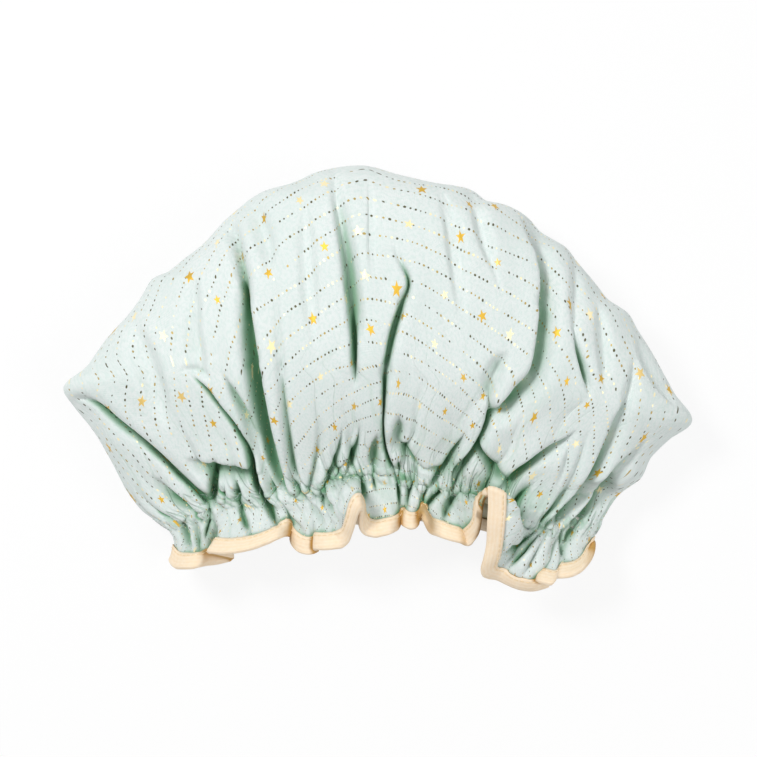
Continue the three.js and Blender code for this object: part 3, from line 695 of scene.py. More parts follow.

# %% [markdown]
# The frill hangs below the elastic in flutes. The hem of the photograph's front run is drawn
# flute by flute, from left to right. Each point also says which pixel column of the
# elastic its cloth hangs from, so that a flute can roll over its neighbour.

# %% The hem
# Pixel column at the elastic, then pixel and height of the bound edge.
FRONT_HEM = [
    (160, 171, 560, 24), (168, 175, 567, 32), (176, 186, 568, 40), (184, 197, 567, 41),
    (190, 204, 565, 35), (196, 218, 563, 26), (201, 232, 559, 23), (205, 226, 557, 29),
    (208, 213, 554, 37), (213, 209, 552, 42), (220, 220, 553, 46), (232, 236, 552, 48),
    (246, 251, 549, 47), (258, 265, 544, 46), (266, 277, 539, 44), (271, 285, 535, 38),
    (275, 290, 536, 32), (280, 293, 544, 34), (287, 299, 551, 38), (294, 309, 553.5, 40),
    (300, 317, 551, 39), (304, 315, 549, 44), (310, 323, 549, 48), (319, 335, 548, 49),
    (325, 343, 546, 47), (329, 349, 540, 47),
    (333, 352, 532, 50), (338, 355, 522, 53), (344, 358, 513, 56), (349, 360, 509, 57),
    (354, 361, 513, 55), (358, 360, 523, 51), (362, 363, 532, 47), (368, 372, 536, 45),
    (378, 383, 535, 46), (388, 392, 532, 44), (394, 397, 528, 38), (399, 400, 521, 35),
    (404, 404, 525, 40), (409, 410, 528, 43), (414, 417, 526, 42), (418, 420, 518, 40),
    (422, 422, 513, 46), (427, 425, 520, 50), (432, 430, 531, 46), (438, 438, 535, 43),
    (446, 449, 539, 43), (455, 461, 542, 43), (462, 470, 544, 42), (464, 473, 541, 43),
    (467, 478, 530, 45), (470, 479, 518, 48), (473, 480, 508, 51), (476, 482, 498, 54),
    (480, 485, 491, 57), (486, 489, 488, 60), (492, 489, 492, 60), (500, 489, 506, 58),
    (508, 488, 525, 55), (515, 487, 545, 50), (521, 484, 560, 47), (526, 482, 569, 44),
    (529, 483, 575, 41), (532, 488, 577, 38), (536, 496, 578, 35), (541, 506, 582.5, 34),
    (546, 518, 587.5, 35), (550, 530, 589.5, 35), (555, 542, 587.5, 35),
    (558, 549, 585, 33), (561, 543, 582, 37), (564, 537, 581, 42), (568, 545, 583, 45),
    (572, 553, 584, 45), (575, 556, 578, 41), (579, 563, 577, 40), (584, 573, 575, 40),
    (589, 584, 568, 37), (593, 592, 556, 31), (597, 594, 543, 24),
]
# Where the cloth rolls over on its way to a wide flute: pixel column at the elastic, pixel
# and height of the roll, and how far it is followed there.
ROLLS = [
    [(318, 330, 525, 50, 0), (326, 335, 520, 56, 0.8), (334, 341, 508, 61, 1),
     (342, 349, 497, 63, 1), (350, 358, 494, 62, 0.9), (358, 364, 500, 60, 0)],
    [(461, 470, 522, 50, 0), (466, 479, 525, 55, 0.8), (471, 481, 512, 60, 1),
     (477, 484, 499, 64, 1), (484, 496, 491, 65, 1), (489, 514, 493, 65, 1),
     (494, 534, 500, 64, 1), (504, 540, 512, 62, 1), (514, 536, 530, 59, 1),
     (521, 520, 550, 54, 0.8), (530, 506, 560, 50, 0.6), (540, 512, 566, 50, 0.9),
     (549, 529, 573, 49, 1), (556, 544, 572, 47, 0.7), (562, 545, 565, 46, 0)],
]
# The back run isn't in the photograph: its flutes, from valley to crest, with some chance.
BACK_FLUTES = 8
BACK_DROP = 22.0
CREST_DROP = 2.0
BACK_WIDTH = 0.97
BACK_HEIGHTS = (1.6, 8.5)
BACK_SWELL = (0.55, 1.35)
BACK_JITTER = (5.0, 2.5)
JITTER_SEED, SWELL_SEED = 5, 8
# So many points of each end are repeated at the other, to close the curve smoothly.
WRAP = 3

pixel_of_share = to_photo(upper_elastic)[:, 0]
front = np.array(FRONT_HEM, float)
front_turns = np.interp(front[::-1, 0], pixel_of_share[::-1], turns[is_upper][::-1])
front_points = np.array([from_photo(*p) for p in front[::-1, 1:]])
back_shares = np.arange(1, 2 * BACK_FLUTES) / (2 * BACK_FLUTES)
back_turns = UPPER_SHARE + (1 - UPPER_SHARE) * back_shares
back_points = through(run_share[~is_upper], crown[-1][~is_upper], back_shares)
jitter = np.random.default_rng(JITTER_SEED).uniform(-1, 1, (len(back_shares), 2)) * BACK_JITTER
swell = np.random.default_rng(SWELL_SEED).uniform(*BACK_SWELL, len(back_shares))
crest = np.arange(len(back_shares)) % 2
back_points[:, 0] = back_points[:, 0] * BACK_WIDTH + jitter[:, 0]
back_points[:, 1] -= BACK_DROP + jitter[:, 1] + CREST_DROP * crest
back_points[:, 2] = np.where(crest, BACK_HEIGHTS[1] * swell, BACK_HEIGHTS[0])
hem_turns = np.concatenate([front_turns, back_turns])
hem_points = np.concatenate([front_points, back_points])
wrap_turns = np.concatenate([hem_turns[-WRAP:] - 1, hem_turns, hem_turns[:WRAP] + 1])
wrap_points = np.concatenate([hem_points[-WRAP:], hem_points, hem_points[:WRAP]])
hem = through(wrap_turns, wrap_points, turns)
print("hem", round(float(lengths_along(hem)[-1])), "mm round")

# %% [markdown]
# The frill is lofted between the gathered cloth at the elastic and that hem. It leaves the
# elastic in the direction in which the crown arrives there, and bends over to the hem.

# %% The surface of the frill
ARRIVAL_ROWS = 5
ARRIVAL_SLOPE = 0.3
BEND_SHARE = 0.5
TABLE_CLEARANCE = 1.0
frill_shares = np.arange(1, FRILL_ROWS + 1) / FRILL_ROWS
frill_top = crown[-1]
towards_hem = unit(frill_top - crown[-1 - ARRIVAL_ROWS])
towards_hem[:, 2] *= ARRIVAL_SLOPE
bend = frill_top + unit(towards_hem) * FRILL_DEPTH * BEND_SHARE
for rows in ROLLS:
    rows = np.array(rows, float)
    near = is_upper.copy()
    near[is_upper] = (pixel_of_share > rows[0, 0]) & (pixel_of_share < rows[-1, 0])
    at = through(rows[:, 0], rows[:, 1:], pixel_of_share[near[is_upper]])
    goal = np.array([from_photo(px, py, z) for px, py, z, _ in at])
    bend[near] += (goal - bend[near]) * np.clip(at[:, 3:], 0, 1)
share = frill_shares[:, None, None]
frill = (1 - share) ** 2 * frill_top + 2 * share * (1 - share) * bend + share**2 * hem
print("frill grid", frill.shape)

# %% Gathers and folds of the frill
# Wave width against the finest gathers, height in mm, where it peaks below the elastic and
# how far it reaches, in mm.
FRILL_LEVELS = [(0.5, 0.4, 0, 3), (1, 1.5, 0, 5), (2, 1.4, 3, 8), (4, 1.4, 9, 11)]
FRILL_WANDER_SEED, FRILL_HEIGHT_SEED = 60, 70
FRILL_WANDER = 0.5
FRILL_WANDER_CELLS = (6, 31)
FRILL_MEAN, FRILL_RANGE = 0.85, 0.6
# How far below the elastic the frill's own noise has taken over from the crown's, in mm.
HEIGHT_CHANGE = (0, 6)
WANDER_CHANGE = (0, 8)
# Where the stiff binding calms the cloth, in mm, and how much of waves and folds it takes.
BINDING_CALM = (12.0, 22.0)
CALMED_WAVES = 0.8
CALMED_FOLDS = 0.9
FRILL_BLUR = 3
with_crown = np.concatenate([crown[-2:], frill])
frill_normals = unit(blurred(normals_of(with_crown), FRILL_BLUR))[2:]
below = frill_shares[:, None] * FRILL_DEPTH * np.ones((1, COLUMNS))
frill_turns = np.broadcast_to(turns, below.shape)
calming = smooth(*BINDING_CALM, below)
frill_waves = np.zeros_like(below)
for level, (width, size, peak, reach) in enumerate(FRILL_LEVELS):
    wander = FRILL_WANDER * noise_field(FRILL_WANDER_SEED + level, *FRILL_WANDER_CELLS,
                                        frill_turns, below / FRILL_DEPTH)
    wander = wander * smooth(*WANDER_CHANGE, below)
    at_top = patch_heights(level, width, frill_turns, below * 0)
    own = noise_line(FRILL_HEIGHT_SEED + level, patch_count(width), turns)
    own = FRILL_MEAN + FRILL_RANGE * own
    vary = at_top + (own - at_top) * smooth(*HEIGHT_CHANGE, below)
    waves = crests(gather_phase / width + wander)
    frill_waves += waves * size * level_fade(below, peak, reach) * vary
frill_waves *= (1 - CALMED_WAVES * calming) * end_calm
frill += (frill_normals * frill_waves[..., None]
          + fold_offsets(FRILL_FOLDS, frill, frill_normals, is_upper * (1 - CALMED_FOLDS * calming)))
# What the crown's folds do at the elastic goes on for a while below it.
CARRY = 0.5
CARRY_REACH = (0.0, 0.5)
carried = folded[-1] - frill_top - frill_normals[0] * gathers[-1][:, None]
frill += carried * (1 - smooth(*CARRY_REACH, frill_shares))[:, None, None] * CARRY
drawn = np.concatenate([folded, frill])
drawn[..., 2] = np.maximum(drawn[..., 2], TABLE_CLEARANCE)
elastic_row = CROWN_ROWS - 1
print("grid", drawn.shape)

# %% [markdown]
# Drawn folds look drawn. A short relaxation turns them into cloth: neighbouring points are
# pushed or pulled to a set distance again and again, and each point is drawn back to its
# drawn place a little. Across the folds the set distances are somewhat longer than drawn,
# so the cloth has to buckle, and it finds small creases of its own.

# %% Relax the cloth
RELAX_PASSES = 60
# Rows down, columns across and stiffness of the links between the points.
LINKS = [(0, 1, 0.9), (1, 0, 0.9), (1, 1, 0.2), (1, -1, 0.2), (0, 2, 0.25), (2, 0, 0.15)]
GATHER_GROWTH = 1.03
GROWTH_ROWS = 14
# How much the cloth is drawn back to its place: everywhere, and where it is held. Held are
# the first and the last rows and those by the elastic.
DRAW_BACK = 0.01
HELD_BACK = 0.3
HELD_STIFFNESS = 0.9
ENDS_HELD = 2
HEM_HOLD = 0.25
ELASTIC_HOLD = 0.35
ELASTIC_HOLD_ROWS = 3.0
KEPT_CREASES = 0.7


def pull_together(first, second, rest, free_first, free_second, stiffness):
    """Moves two sets of points towards their rest distance, in place."""
    gap = second - first
    length = np.sqrt((gap * gap).sum(-1))
    share = stiffness * (length - rest) / np.maximum(length, TINY)
    share = share / np.maximum(free_first + free_second, TINY)
    first += gap * (share * free_first)[..., None]
    second -= gap * (share * free_second)[..., None]


def links_of(grid, growth, free):
    """Two sets of links for each kind, so that no point is in a set twice."""
    height, width = grid.shape[:2]
    flat = grid.reshape(-1, 3)
    links = []
    for down, across, stiffness in LINKS:
        for odd in (0, 1):
            rows, columns = np.arange(height - down), np.arange(width)
            if down:
                rows = rows[(rows // down) % 2 == odd]
            else:
                columns = columns[(columns // across) % 2 == odd]
            first = (rows[:, None] * width + columns).ravel()
            second = ((rows + down)[:, None] * width + (columns + across) % width).ravel()
            rest = np.linalg.norm(flat[second] - flat[first], axis=-1)
            if across:
                rest = rest * growth.ravel()[first]
            links.append((first, second, rest, free.ravel()[first], free.ravel()[second],
                          stiffness))
    return links


def relax(grid, growth, hold, passes):
    """Position based relaxation of a closed grid of cloth."""
    links = links_of(grid, growth, 1 - HELD_STIFFNESS * hold)
    points = grid.copy()
    flat = points.reshape(-1, 3)
    for _ in range(passes):
        for first, second, *rest in links:
            a, b = flat[first], flat[second]
            pull_together(a, b, *rest)
            flat[first], flat[second] = a, b
        points += (grid - points) * (DRAW_BACK + HELD_BACK * hold[..., None])
        points[..., 2] = np.maximum(points[..., 2], TABLE_CLEARANCE)
    return points


row_number = np.arange(len(drawn))[:, None] * np.ones((1, COLUMNS))
near_elastic = np.exp(-(((row_number - elastic_row) / GROWTH_ROWS) ** 2))
growth = 1 + (GATHER_GROWTH - 1) * near_elastic
hold = ELASTIC_HOLD * np.exp(-(((row_number - elastic_row) / ELASTIC_HOLD_ROWS) ** 2))
hold[:ENDS_HELD] = 1
hold[-ENDS_HELD:] += HEM_HOLD
sheet = relax(drawn, growth, hold, RELAX_PASSES)
sheet += (blurred(sheet, 1) - sheet) * (1 - KEPT_CREASES * near_elastic[..., None])
area = np.linalg.norm(np.cross(closed_difference(sheet) / 2, np.gradient(sheet, axis=0)), axis=-1)
print("cloth area", round(float(area.sum() / 1e6), 4), "m2")

# %% [markdown]
# The print needs flat coordinates that neither stretch nor squeeze it. The photograph shows
# which way its rows of dots run over each part of the cap. A least-squares solution finds two
# coordinates whose steps along the cloth are as long as the cloth and turned that way.

# %% Coordinates for the print
# Pixel column, then the direction of the dotted rows on the upper side, in degrees.
ROW_DIRECTIONS = [
    (65, 112), (110, 105), (150, 94), (200, 76), (240, 60), (290, 50), (335, 42), (358, 35),
    (374, 4), (405, -4), (425, -25), (480, -32), (520, -38), (545, -54), (590, -66),
    (640, -84), (691, -95),
]
UNDER_DIRECTIONS = [(65, 25), (691, -34)]
SOLVER_PASSES = 500
WAY_BLUR, PLACE_BLUR, SIDE_BLUR = 4, 20, 30
SIDE_CHANGE = (-0.25, 0.25)
normal_field = unit(blurred(normals_of(sheet), WAY_BLUR))
pixel_x = to_photo(blurred(sheet, PLACE_BLUR))[..., 0]
over = smooth(*SIDE_CHANGE, blurred(normals_of(sheet), SIDE_BLUR)[..., 2])
upper_way = np.interp(pixel_x, *np.array(ROW_DIRECTIONS, float).T)
under_way = np.interp(pixel_x, *np.array(UNDER_DIRECTIONS, float).T)
way = np.radians(upper_way * over + under_way * (1 - over))
row_way = np.stack([np.cos(way), np.sin(way), np.zeros_like(way)], -1)
row_way -= normal_field * (row_way * normal_field).sum(-1, keepdims=True)
row_way = unit(row_way)
side_way = np.cross(normal_field, row_way)


def edge_step(edge, axis_field, shifted):
    return (edge * unit(axis_field + shifted)).sum(-1)


LEAST_STEP = 0.05
across_edge = np.roll(sheet, -1, axis=1) - sheet
down_edge = sheet[1:] - sheet[:-1]
across_length = np.linalg.norm(across_edge, axis=-1) + LEAST_STEP
down_length = np.linalg.norm(down_edge, axis=-1) + LEAST_STEP
across_weight = np.concatenate([down_length, down_length[-1:]]) / across_length
down_weight = across_length[:-1] / down_length


def least_squares(axis_field):
    """The coordinate whose steps along the cloth follow axis_field."""
    across_goal = across_weight * edge_step(across_edge, axis_field, np.roll(axis_field, -1, axis=1))
    down_goal = down_weight * edge_step(down_edge, axis_field[:-1], axis_field[1:])

    def gather_steps(across_part, down_part):
        total = np.roll(across_part, 1, axis=1) - across_part
        total[1:] += down_part
        total[:-1] -= down_part
        return total

    def apply(field):
        across_part = across_weight * (np.roll(field, -1, axis=1) - field)
        return gather_steps(across_part, down_weight * (field[1:] - field[:-1]))

    diagonal = across_weight + np.roll(across_weight, 1, axis=1)
    diagonal[1:] += down_weight
    diagonal[:-1] += down_weight
    solution = np.zeros(sheet.shape[:2])
    left = gather_steps(across_goal, down_goal)
    scaled = left / diagonal
    push = scaled.copy()
    strength = (left * scaled).sum()
    for _ in range(SOLVER_PASSES):
        moved = apply(push)
        length = strength / (push * moved).sum()
        solution += length * push
        left -= length * moved
        scaled = left / diagonal
        fresh = (left * scaled).sum()
        push = scaled + push * fresh / strength
        strength = fresh
    return solution - solution[0].mean()


def steps_of(field):
    """How a coordinate changes along the two axes of the cloth at each point."""
    across_move = np.roll(sheet, -1, axis=1) - np.roll(sheet, 1, axis=1)
    down_move = np.gradient(sheet, axis=0) * 2
    across_change = np.roll(field, -1, axis=1) - np.roll(field, 1, axis=1)
    down_change = np.gradient(field, axis=0) * 2
    aa = (across_move * across_move).sum(-1) + TINY
    bb = (down_move * down_move).sum(-1) + TINY
    ab = (across_move * down_move).sum(-1)
    ground = np.maximum(aa * bb - ab * ab, TINY)
    first = (bb * across_change - ab * down_change) / ground
    second = (aa * down_change - ab * across_change) / ground
    return first[..., None] * across_move + second[..., None] * down_move


# Between the solutions, the wanted directions turn towards those that the last one found.
# The solution comes out a little small over the crown, so it is enlarged for the print.
PRINT_SCALE = 1.2
TURN_ROUNDS = 3
TURN_SHARE = 0.7
TURN_BLUR = 3
flat_u, flat_v = least_squares(row_way), least_squares(side_way)
for _ in range(TURN_ROUNDS):
    u_slope, v_slope = steps_of(flat_u), steps_of(flat_v)
    cosine = (u_slope * row_way + v_slope * side_way).sum(-1)
    sine = (u_slope * side_way - v_slope * row_way).sum(-1)
    turned = np.arctan2(blurred(sine, TURN_BLUR), blurred(cosine, TURN_BLUR)) * TURN_SHARE
    cosine, sine = np.cos(turned)[..., None], np.sin(turned)[..., None]
    row_way, side_way = row_way * cosine + side_way * sine, side_way * cosine - row_way * sine
    flat_u, flat_v = least_squares(row_way), least_squares(side_way)
stretch = np.linalg.norm(steps_of(flat_u), axis=-1)
print("print stretch, 5% and 95%", [round(float(v), 2) for v in np.percentile(stretch, (5, 95))])
flat_uv = np.stack([flat_u, flat_v], -1) * (METRE * PRINT_SCALE)

# %% The size of the flat round
from_middle = lengths_along(sheet)
flat_radius = from_middle[-1] + np.linalg.norm(sheet[0] - sheet[0].mean(0), axis=-1)
print("crown to hem along the cloth", round(float(flat_radius.min())), "to",
      round(float(flat_radius.max())), "mm")

# %% [markdown]
# Small helpers turn grids of points into meshes. A sheet gets two faces and a rim, so that
# it is a thin solid and not a bare surface.


# %% Mesh helpers
def make_object(name, points, faces, uvs=None):
    mesh = bpy.data.meshes.new(name)
    mesh.from_pydata((np.asarray(points) * METRE).tolist(), [], faces)
    mesh.polygons.foreach_set("use_smooth", [True] * len(mesh.polygons))
    if uvs is not None:
        loops = np.zeros(len(mesh.loops), dtype=np.int32)
        mesh.loops.foreach_get("vertex_index", loops)
        layer = mesh.uv_layers.new(name="flat")
        layer.data.foreach_set("uv", np.asarray(uvs, np.float32)[loops].ravel())
    mesh.validate()
    mesh.update()
    made = bpy.data.objects.new(name, mesh)
    bpy.context.collection.objects.link(made)
    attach(made, "root")
    return made


def band_faces(rows, columns, first=0, flip=False, closed_rows=False):
    """Faces between the rows of a grid whose columns are a closed loop."""
    faces = []
    for r in range(rows if closed_rows else rows - 1):
        this = first + r * columns
        following = first + (r + 1) % rows * columns
        for c in range(columns):
            n = (c + 1) % columns
            face = (this + c, this + n, following + n, following + c)
            faces.append(face[:1] + face[:0:-1] if flip else face)
    return faces


def thin_solid(name, outer, inner, uv):
    """A round of cloth from its outer and its inner face, with a middle point for each."""
    rows, columns = outer.shape[:2]
    size = rows * columns
    points = np.concatenate([outer.reshape(-1, 3), inner.reshape(-1, 3),
                             outer[:1].mean(1), inner[:1].mean(1)])
    faces = band_faces(rows, columns)
    faces += band_faces(rows, columns, first=size, flip=True)
    rim = (rows - 1) * columns
    for c in range(columns):
        n = (c + 1) % columns
        faces.append((rim + c, rim + n, size + rim + n, size + rim + c))
        faces.append((2 * size, n, c))
        faces.append((2 * size + 1, size + c, size + n))
    flat = np.concatenate([uv.reshape(-1, 2), uv.reshape(-1, 2), np.zeros((2, 2))])
    return make_object(name, points, faces, flat)


# %% [markdown]
# The printed cotton lies outside and the waterproof film inside. Between the two rows of
# stitches they part round the elastic: each sheet stays on its own side of the strip.

# %% The two sheets
COTTON = 0.4
FILM = 0.25
SHEET_GAP = 0.3
ELASTIC_HALF = 0.45
CHANNEL_HALF = 5.0
CHANNEL_EASE = 0.2
CHANNEL_FLAT = 0.55
RAW_ROWS = 1
sheet_normals = unit(blurred(normals_of(sheet), 1))
from_elastic = from_middle - from_middle[elastic_row]
channel = 1 - smooth(CHANNEL_HALF * CHANNEL_FLAT, CHANNEL_HALF, np.abs(from_elastic))
parting = channel * (ELASTIC_HALF + CHANNEL_EASE)


def face_at(side, distance):
    """A face of a sheet on side 1, outside, or -1, inside, at a distance from the middle."""
    return sheet + sheet_normals * (side * (distance + parting))[..., None]


kept = slice(0, len(sheet) - RAW_ROWS)
cotton_face = face_at(1, SHEET_GAP / 2 + COTTON)
film_face = face_at(-1, SHEET_GAP / 2 + FILM)
cotton = thin_solid("printed_cotton", cotton_face[kept], face_at(1, SHEET_GAP / 2)[kept],
                    flat_uv[kept])
lining = thin_solid("waterproof_film", face_at(-1, SHEET_GAP / 2)[kept], film_face[kept],
                    flat_uv[kept])
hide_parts("outer_fabric")
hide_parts("waterproof_lining")
print("sheets", len(cotton.data.polygons), "faces each")

# %% [markdown]
# The binding is a tape folded round both cut edges. Its section is a narrow U: up the
# outside, round the fold, and up the inside, with the thickness of the tape between.

# %% The section of the binding
TAPE = 0.5
BINDING_WIDTH = 7.6
BINDING_ROWS = 9
BINDING_GAP = 0.25
FOLD_STEPS = 5
OUTER_REACH, INNER_REACH = 1.0, 0.5
PUFF = 0.25
PUFF_NOISE = 0.1
PUFF_CELLS = (40, 4, 200)
INNER_PUFF = 0.5
to_edge = from_middle[-1] - from_middle
leg_distance = np.linspace(BINDING_WIDTH, 0, BINDING_ROWS)


def leg_of(field):
    """The values of a grid of the cloth at the rows of the binding."""
    runs = [linear(-leg_distance, -to_edge[:, c], field[:, c]) for c in range(COLUMNS)]
    return np.stack(runs, 1)


leg_points = leg_of(sheet)
leg_normals = unit(leg_of(sheet_normals))
leg_down = unit(leg_points[-1] - leg_points[-2])
outer_near = SHEET_GAP / 2 + COTTON + BINDING_GAP
inner_near = SHEET_GAP / 2 + FILM + BINDING_GAP
leg_place = np.linspace(0, 1, BINDING_ROWS)[:, None]
leg_turns = np.broadcast_to(turns, (BINDING_ROWS, COLUMNS))
puff = PUFF * np.sin(np.pi * leg_place)
puff = puff + PUFF_NOISE * noise_field(*PUFF_CELLS, leg_turns, leg_place)


def leg_face(side, distance, puffed):
    return leg_points + leg_normals * (side * (distance + puff * puffed))[..., None]


def fold_round(outer_distance, inner_distance, reach):
    """The rows of the fold between the two legs of the tape, from the outer leg on."""
    bent = np.pi * np.arange(1, FOLD_STEPS)[:, None, None] / FOLD_STEPS
    middle = (outer_distance - inner_distance) / 2
    half = (outer_distance + inner_distance) / 2
    return (leg_points[-1] + leg_normals[-1] * (middle + half * np.cos(bent))
            + leg_down * reach * np.sin(bent))


outside = leg_face(1, outer_near + TAPE, 1)
inside = leg_face(-1, inner_near + TAPE, 1)
section = np.concatenate([
    outside,
    fold_round(outer_near + TAPE, inner_near + TAPE, OUTER_REACH),
    inside[::-1],
    leg_face(-1, inner_near, INNER_PUFF),
    fold_round(outer_near, inner_near, INNER_REACH)[::-1],
    leg_face(1, outer_near, INNER_PUFF)[::-1],
])
print("binding", len(section), "rows round its section")


# %% The binding
def band(name, section, length, width):
    """A closed band from the rows round its section, with flat coordinates in metres."""
    across = np.linspace(0, width, len(section))[:, None] * np.ones((1, COLUMNS))
    flat = np.stack([np.broadcast_to(length, across.shape), across], -1)
    return make_object(name, section.reshape(-1, 3),
                       band_faces(len(section), COLUMNS, closed_rows=True),
                       flat.reshape(-1, 2))


hem_length = lengths_along(leg_points[-1])
binding = band("folded_binding", section, hem_length * METRE,
               2 * BINDING_WIDTH * METRE)
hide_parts("hem_binding")
print("binding", round(float(hem_length[-1])), "mm round")

# %% [markdown]
# Shade is painted into the colours deep in the folds, where light passes from face to face: the
# cloth is painted a darker green, the cream tape golden and the film olive. Short rays from every
# second point count how much of the sky it sees, and the finishes take their painted shade from
# that.

# %% How closed in each point is
RAY_COUNT = 20
RAY_REACH = 45.0
RAY_LIFT = 0.6
GOLDEN_ANGLE = math.pi * (3 - math.sqrt(5))
# Any direction that no normal of the cloth has.
ASKEW = (0.3, 0.9, 0.31)
ray_share = (np.arange(RAY_COUNT) + 0.5) / RAY_COUNT
ray_turn = GOLDEN_ANGLE * np.arange(RAY_COUNT)
rays = np.stack([np.cos(ray_turn) * np.sqrt(ray_share), np.sin(ray_turn) * np.sqrt(ray_share),
                 np.sqrt(1 - ray_share)], -1)
cotton_rows = cotton_face[kept]
tree = BVHTree.FromPolygons(
    np.concatenate([cotton_rows.reshape(-1, 3), section.reshape(-1, 3)]).tolist(),
    band_faces(len(cotton_rows), COLUMNS)
    + band_faces(len(section), COLUMNS, first=len(cotton_rows) * COLUMNS, closed_rows=True))


def closed_in(points, normals, step=2):
    """The share of the sky that each point of a grid doesn't see."""
    rows, columns = np.arange(0, len(points), step), np.arange(0, COLUMNS, step)
    coarse = np.zeros((len(rows), len(columns)))
    for i, r in enumerate(rows):
        for j, c in enumerate(columns):
            out = normals[r, c]
            side = unit(np.cross(out, ASKEW))
            directions = rays @ np.stack([side, np.cross(out, side), out])
            start = points[r, c] + out * RAY_LIFT
            hits = sum(tree.ray_cast(start, way, RAY_REACH)[0] is not None for way in directions)
            coarse[i, j] = hits / RAY_COUNT
    place = np.interp(np.arange(len(points)), rows, np.arange(len(rows)))
    low = np.floor(place).astype(int)
    high = np.minimum(low + 1, len(rows) - 1)
    share = (place - low)[:, None]
    found = np.repeat(coarse[low] * (1 - share) + coarse[high] * share, step, axis=1)
    return blurred(found, step)


def keep_values(made, name, values):
    """Keeps a number for each point of a mesh, for its finish."""
    layer = made.data.attributes.new(name, "FLOAT", "POINT")
    layer.data.foreach_set("value", np.asarray(values, np.float32).ravel())


def both_faces(grid):
    return np.concatenate([grid.ravel(), grid.ravel(), [0, 0]])


# Each piece keeps how closed in it is, for the shade painted into its folds.
cotton_closed = closed_in(cotton_rows, sheet_normals[kept])
keep_values(cotton, "painted_fold_shade", both_faces(cotton_closed))
keep_values(cotton, "gather_number", both_faces(np.broadcast_to(gather_phase, cotton_closed.shape)))
keep_values(cotton, "below_elastic", both_faces(from_elastic[kept]))
film_closed = closed_in(film_face[kept], -sheet_normals[kept], 4)
keep_values(lining, "painted_fold_shade", both_faces(film_closed))
tape_closed = closed_in(outside, leg_normals)
tape_rim = np.repeat(tape_closed[-1:], FOLD_STEPS - 1, axis=0)
tape_values = np.ones(section.shape[:2])
tape_seen = np.concatenate([tape_closed, tape_rim, closed_in(inside, -leg_normals)[::-1]])
tape_values[:len(tape_seen)] = tape_seen
keep_values(binding, "painted_fold_shade", tape_values)
print("closed in, cotton and tape", round(float(cotton_closed.mean()), 2),
      round(float(tape_closed.mean()), 2))

# %% [markdown]
# The elastic is hidden in its channel. It is still a strip of its own, with rounded edges,
# because the part can be taken apart.

# %% The elastic
ELASTIC_WIDTH = 6.0
ELASTIC_LENGTH = 0.6
ELASTIC_ROUND = 0.013
STRIP_BLUR = 6
STRIP_STEP = 3
STRIP_CLEARANCE = 0.05
# Half of the strip's section, in shares of its half width and of its half thickness.
HALF_SECTION = [(-1, 0.3), (-0.9, 1), (-0.5, 1), (0, 1), (0.5, 1), (0.9, 1), (1, 0.3)]
strip_calm = blurred(sheet, STRIP_BLUR, rows_too=False)
strip_middle = strip_calm[elastic_row]
strip_normal = unit(blurred(sheet_normals, STRIP_BLUR, rows_too=False)[elastic_row])
strip_down = unit(strip_calm[elastic_row + STRIP_STEP] - strip_calm[elastic_row - STRIP_STEP])
strip_section = np.array([
    strip_middle + strip_down * side * place * ELASTIC_WIDTH / 2
    + strip_normal * side * height * (ELASTIC_HALF - STRIP_CLEARANCE)
    for side in (1, -1) for place, height in HALF_SECTION])
elastic = band("elastic_strip", strip_section, turns * ELASTIC_LENGTH, ELASTIC_ROUND)
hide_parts("elastic_band")
print("elastic", strip_section.shape)

# %% [markdown]
# A row of stitches is many short pieces of thread. Each one rises out of the cloth, lies on
# it and goes back in, so it is a small bent tube.

# %% Stitches
STITCH_PITCH = 2.8
STITCH_SHARE = 0.78
THREAD_RADIUS = 0.2
STITCH_SIDES = 6
LOOK_AHEAD = 0.05
# One end of a stitch: its place along the stitch, its lift and its thickness in thread radii.
STITCH_END = [(-0.5, -1.2, 0.5), (-0.44, 0.2, 0.9), (-0.2, 0.75, 1)]
STITCH_BEND = STITCH_END + [(-place, lift, thick) for place, lift, thick in STITCH_END[::-1]]


def stitch_rings(here, ahead, out, lift, thick):
    """The points of one ring of a stitch."""
    side = unit(np.cross(ahead, out))
    turned = 2 * np.pi * np.arange(STITCH_SIDES)[:, None] / STITCH_SIDES
    spokes = out * np.cos(turned) + side * np.sin(turned)
    return here + out * lift * THREAD_RADIUS + spokes * THREAD_RADIUS * thick


def stitch_row(name, points, normals, node, closed=True):
    """Stitches along a line on the cloth, each STITCH_PITCH after the last."""
    if closed:
        points = np.concatenate([points, points[:1]])
        normals = np.concatenate([normals, normals[:1]])
    lengths = lengths_along(points)
    count = int(lengths[-1] / STITCH_PITCH)
    pitch = lengths[-1] / count
    rings, faces = [], []
    for k in range(count):
        start = len(rings) * STITCH_SIDES
        for place, lift, thick in STITCH_BEND:
            at = (k + 0.5 + place * STITCH_SHARE) * pitch
            here = linear(at, lengths, points)
            ahead = linear(at + LOOK_AHEAD, lengths, points) - here
            out = unit(linear(at, lengths, normals))
            rings.append(stitch_rings(here, ahead, out, lift, thick))
        end = len(rings) * STITCH_SIDES - STITCH_SIDES
        faces += band_faces(len(STITCH_BEND), STITCH_SIDES, first=start)
        faces.append(tuple(reversed(range(start, start + STITCH_SIDES))))
        faces.append(tuple(range(end, end + STITCH_SIDES)))
    made = make_object(name, np.concatenate(rings), faces)
    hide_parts(node)
    print(name, count, "stitches")
    return made


# %% The rows of the channel and of the binding
CHANNEL_STITCH = CHANNEL_HALF * 0.9
BINDING_INSET = 1.5


def below_elastic(field, distance):
    """The values of a grid where the cloth is a distance below the elastic."""
    return np.array([linear(distance, from_elastic[:, c], field[:, c]) for c in range(COLUMNS)])


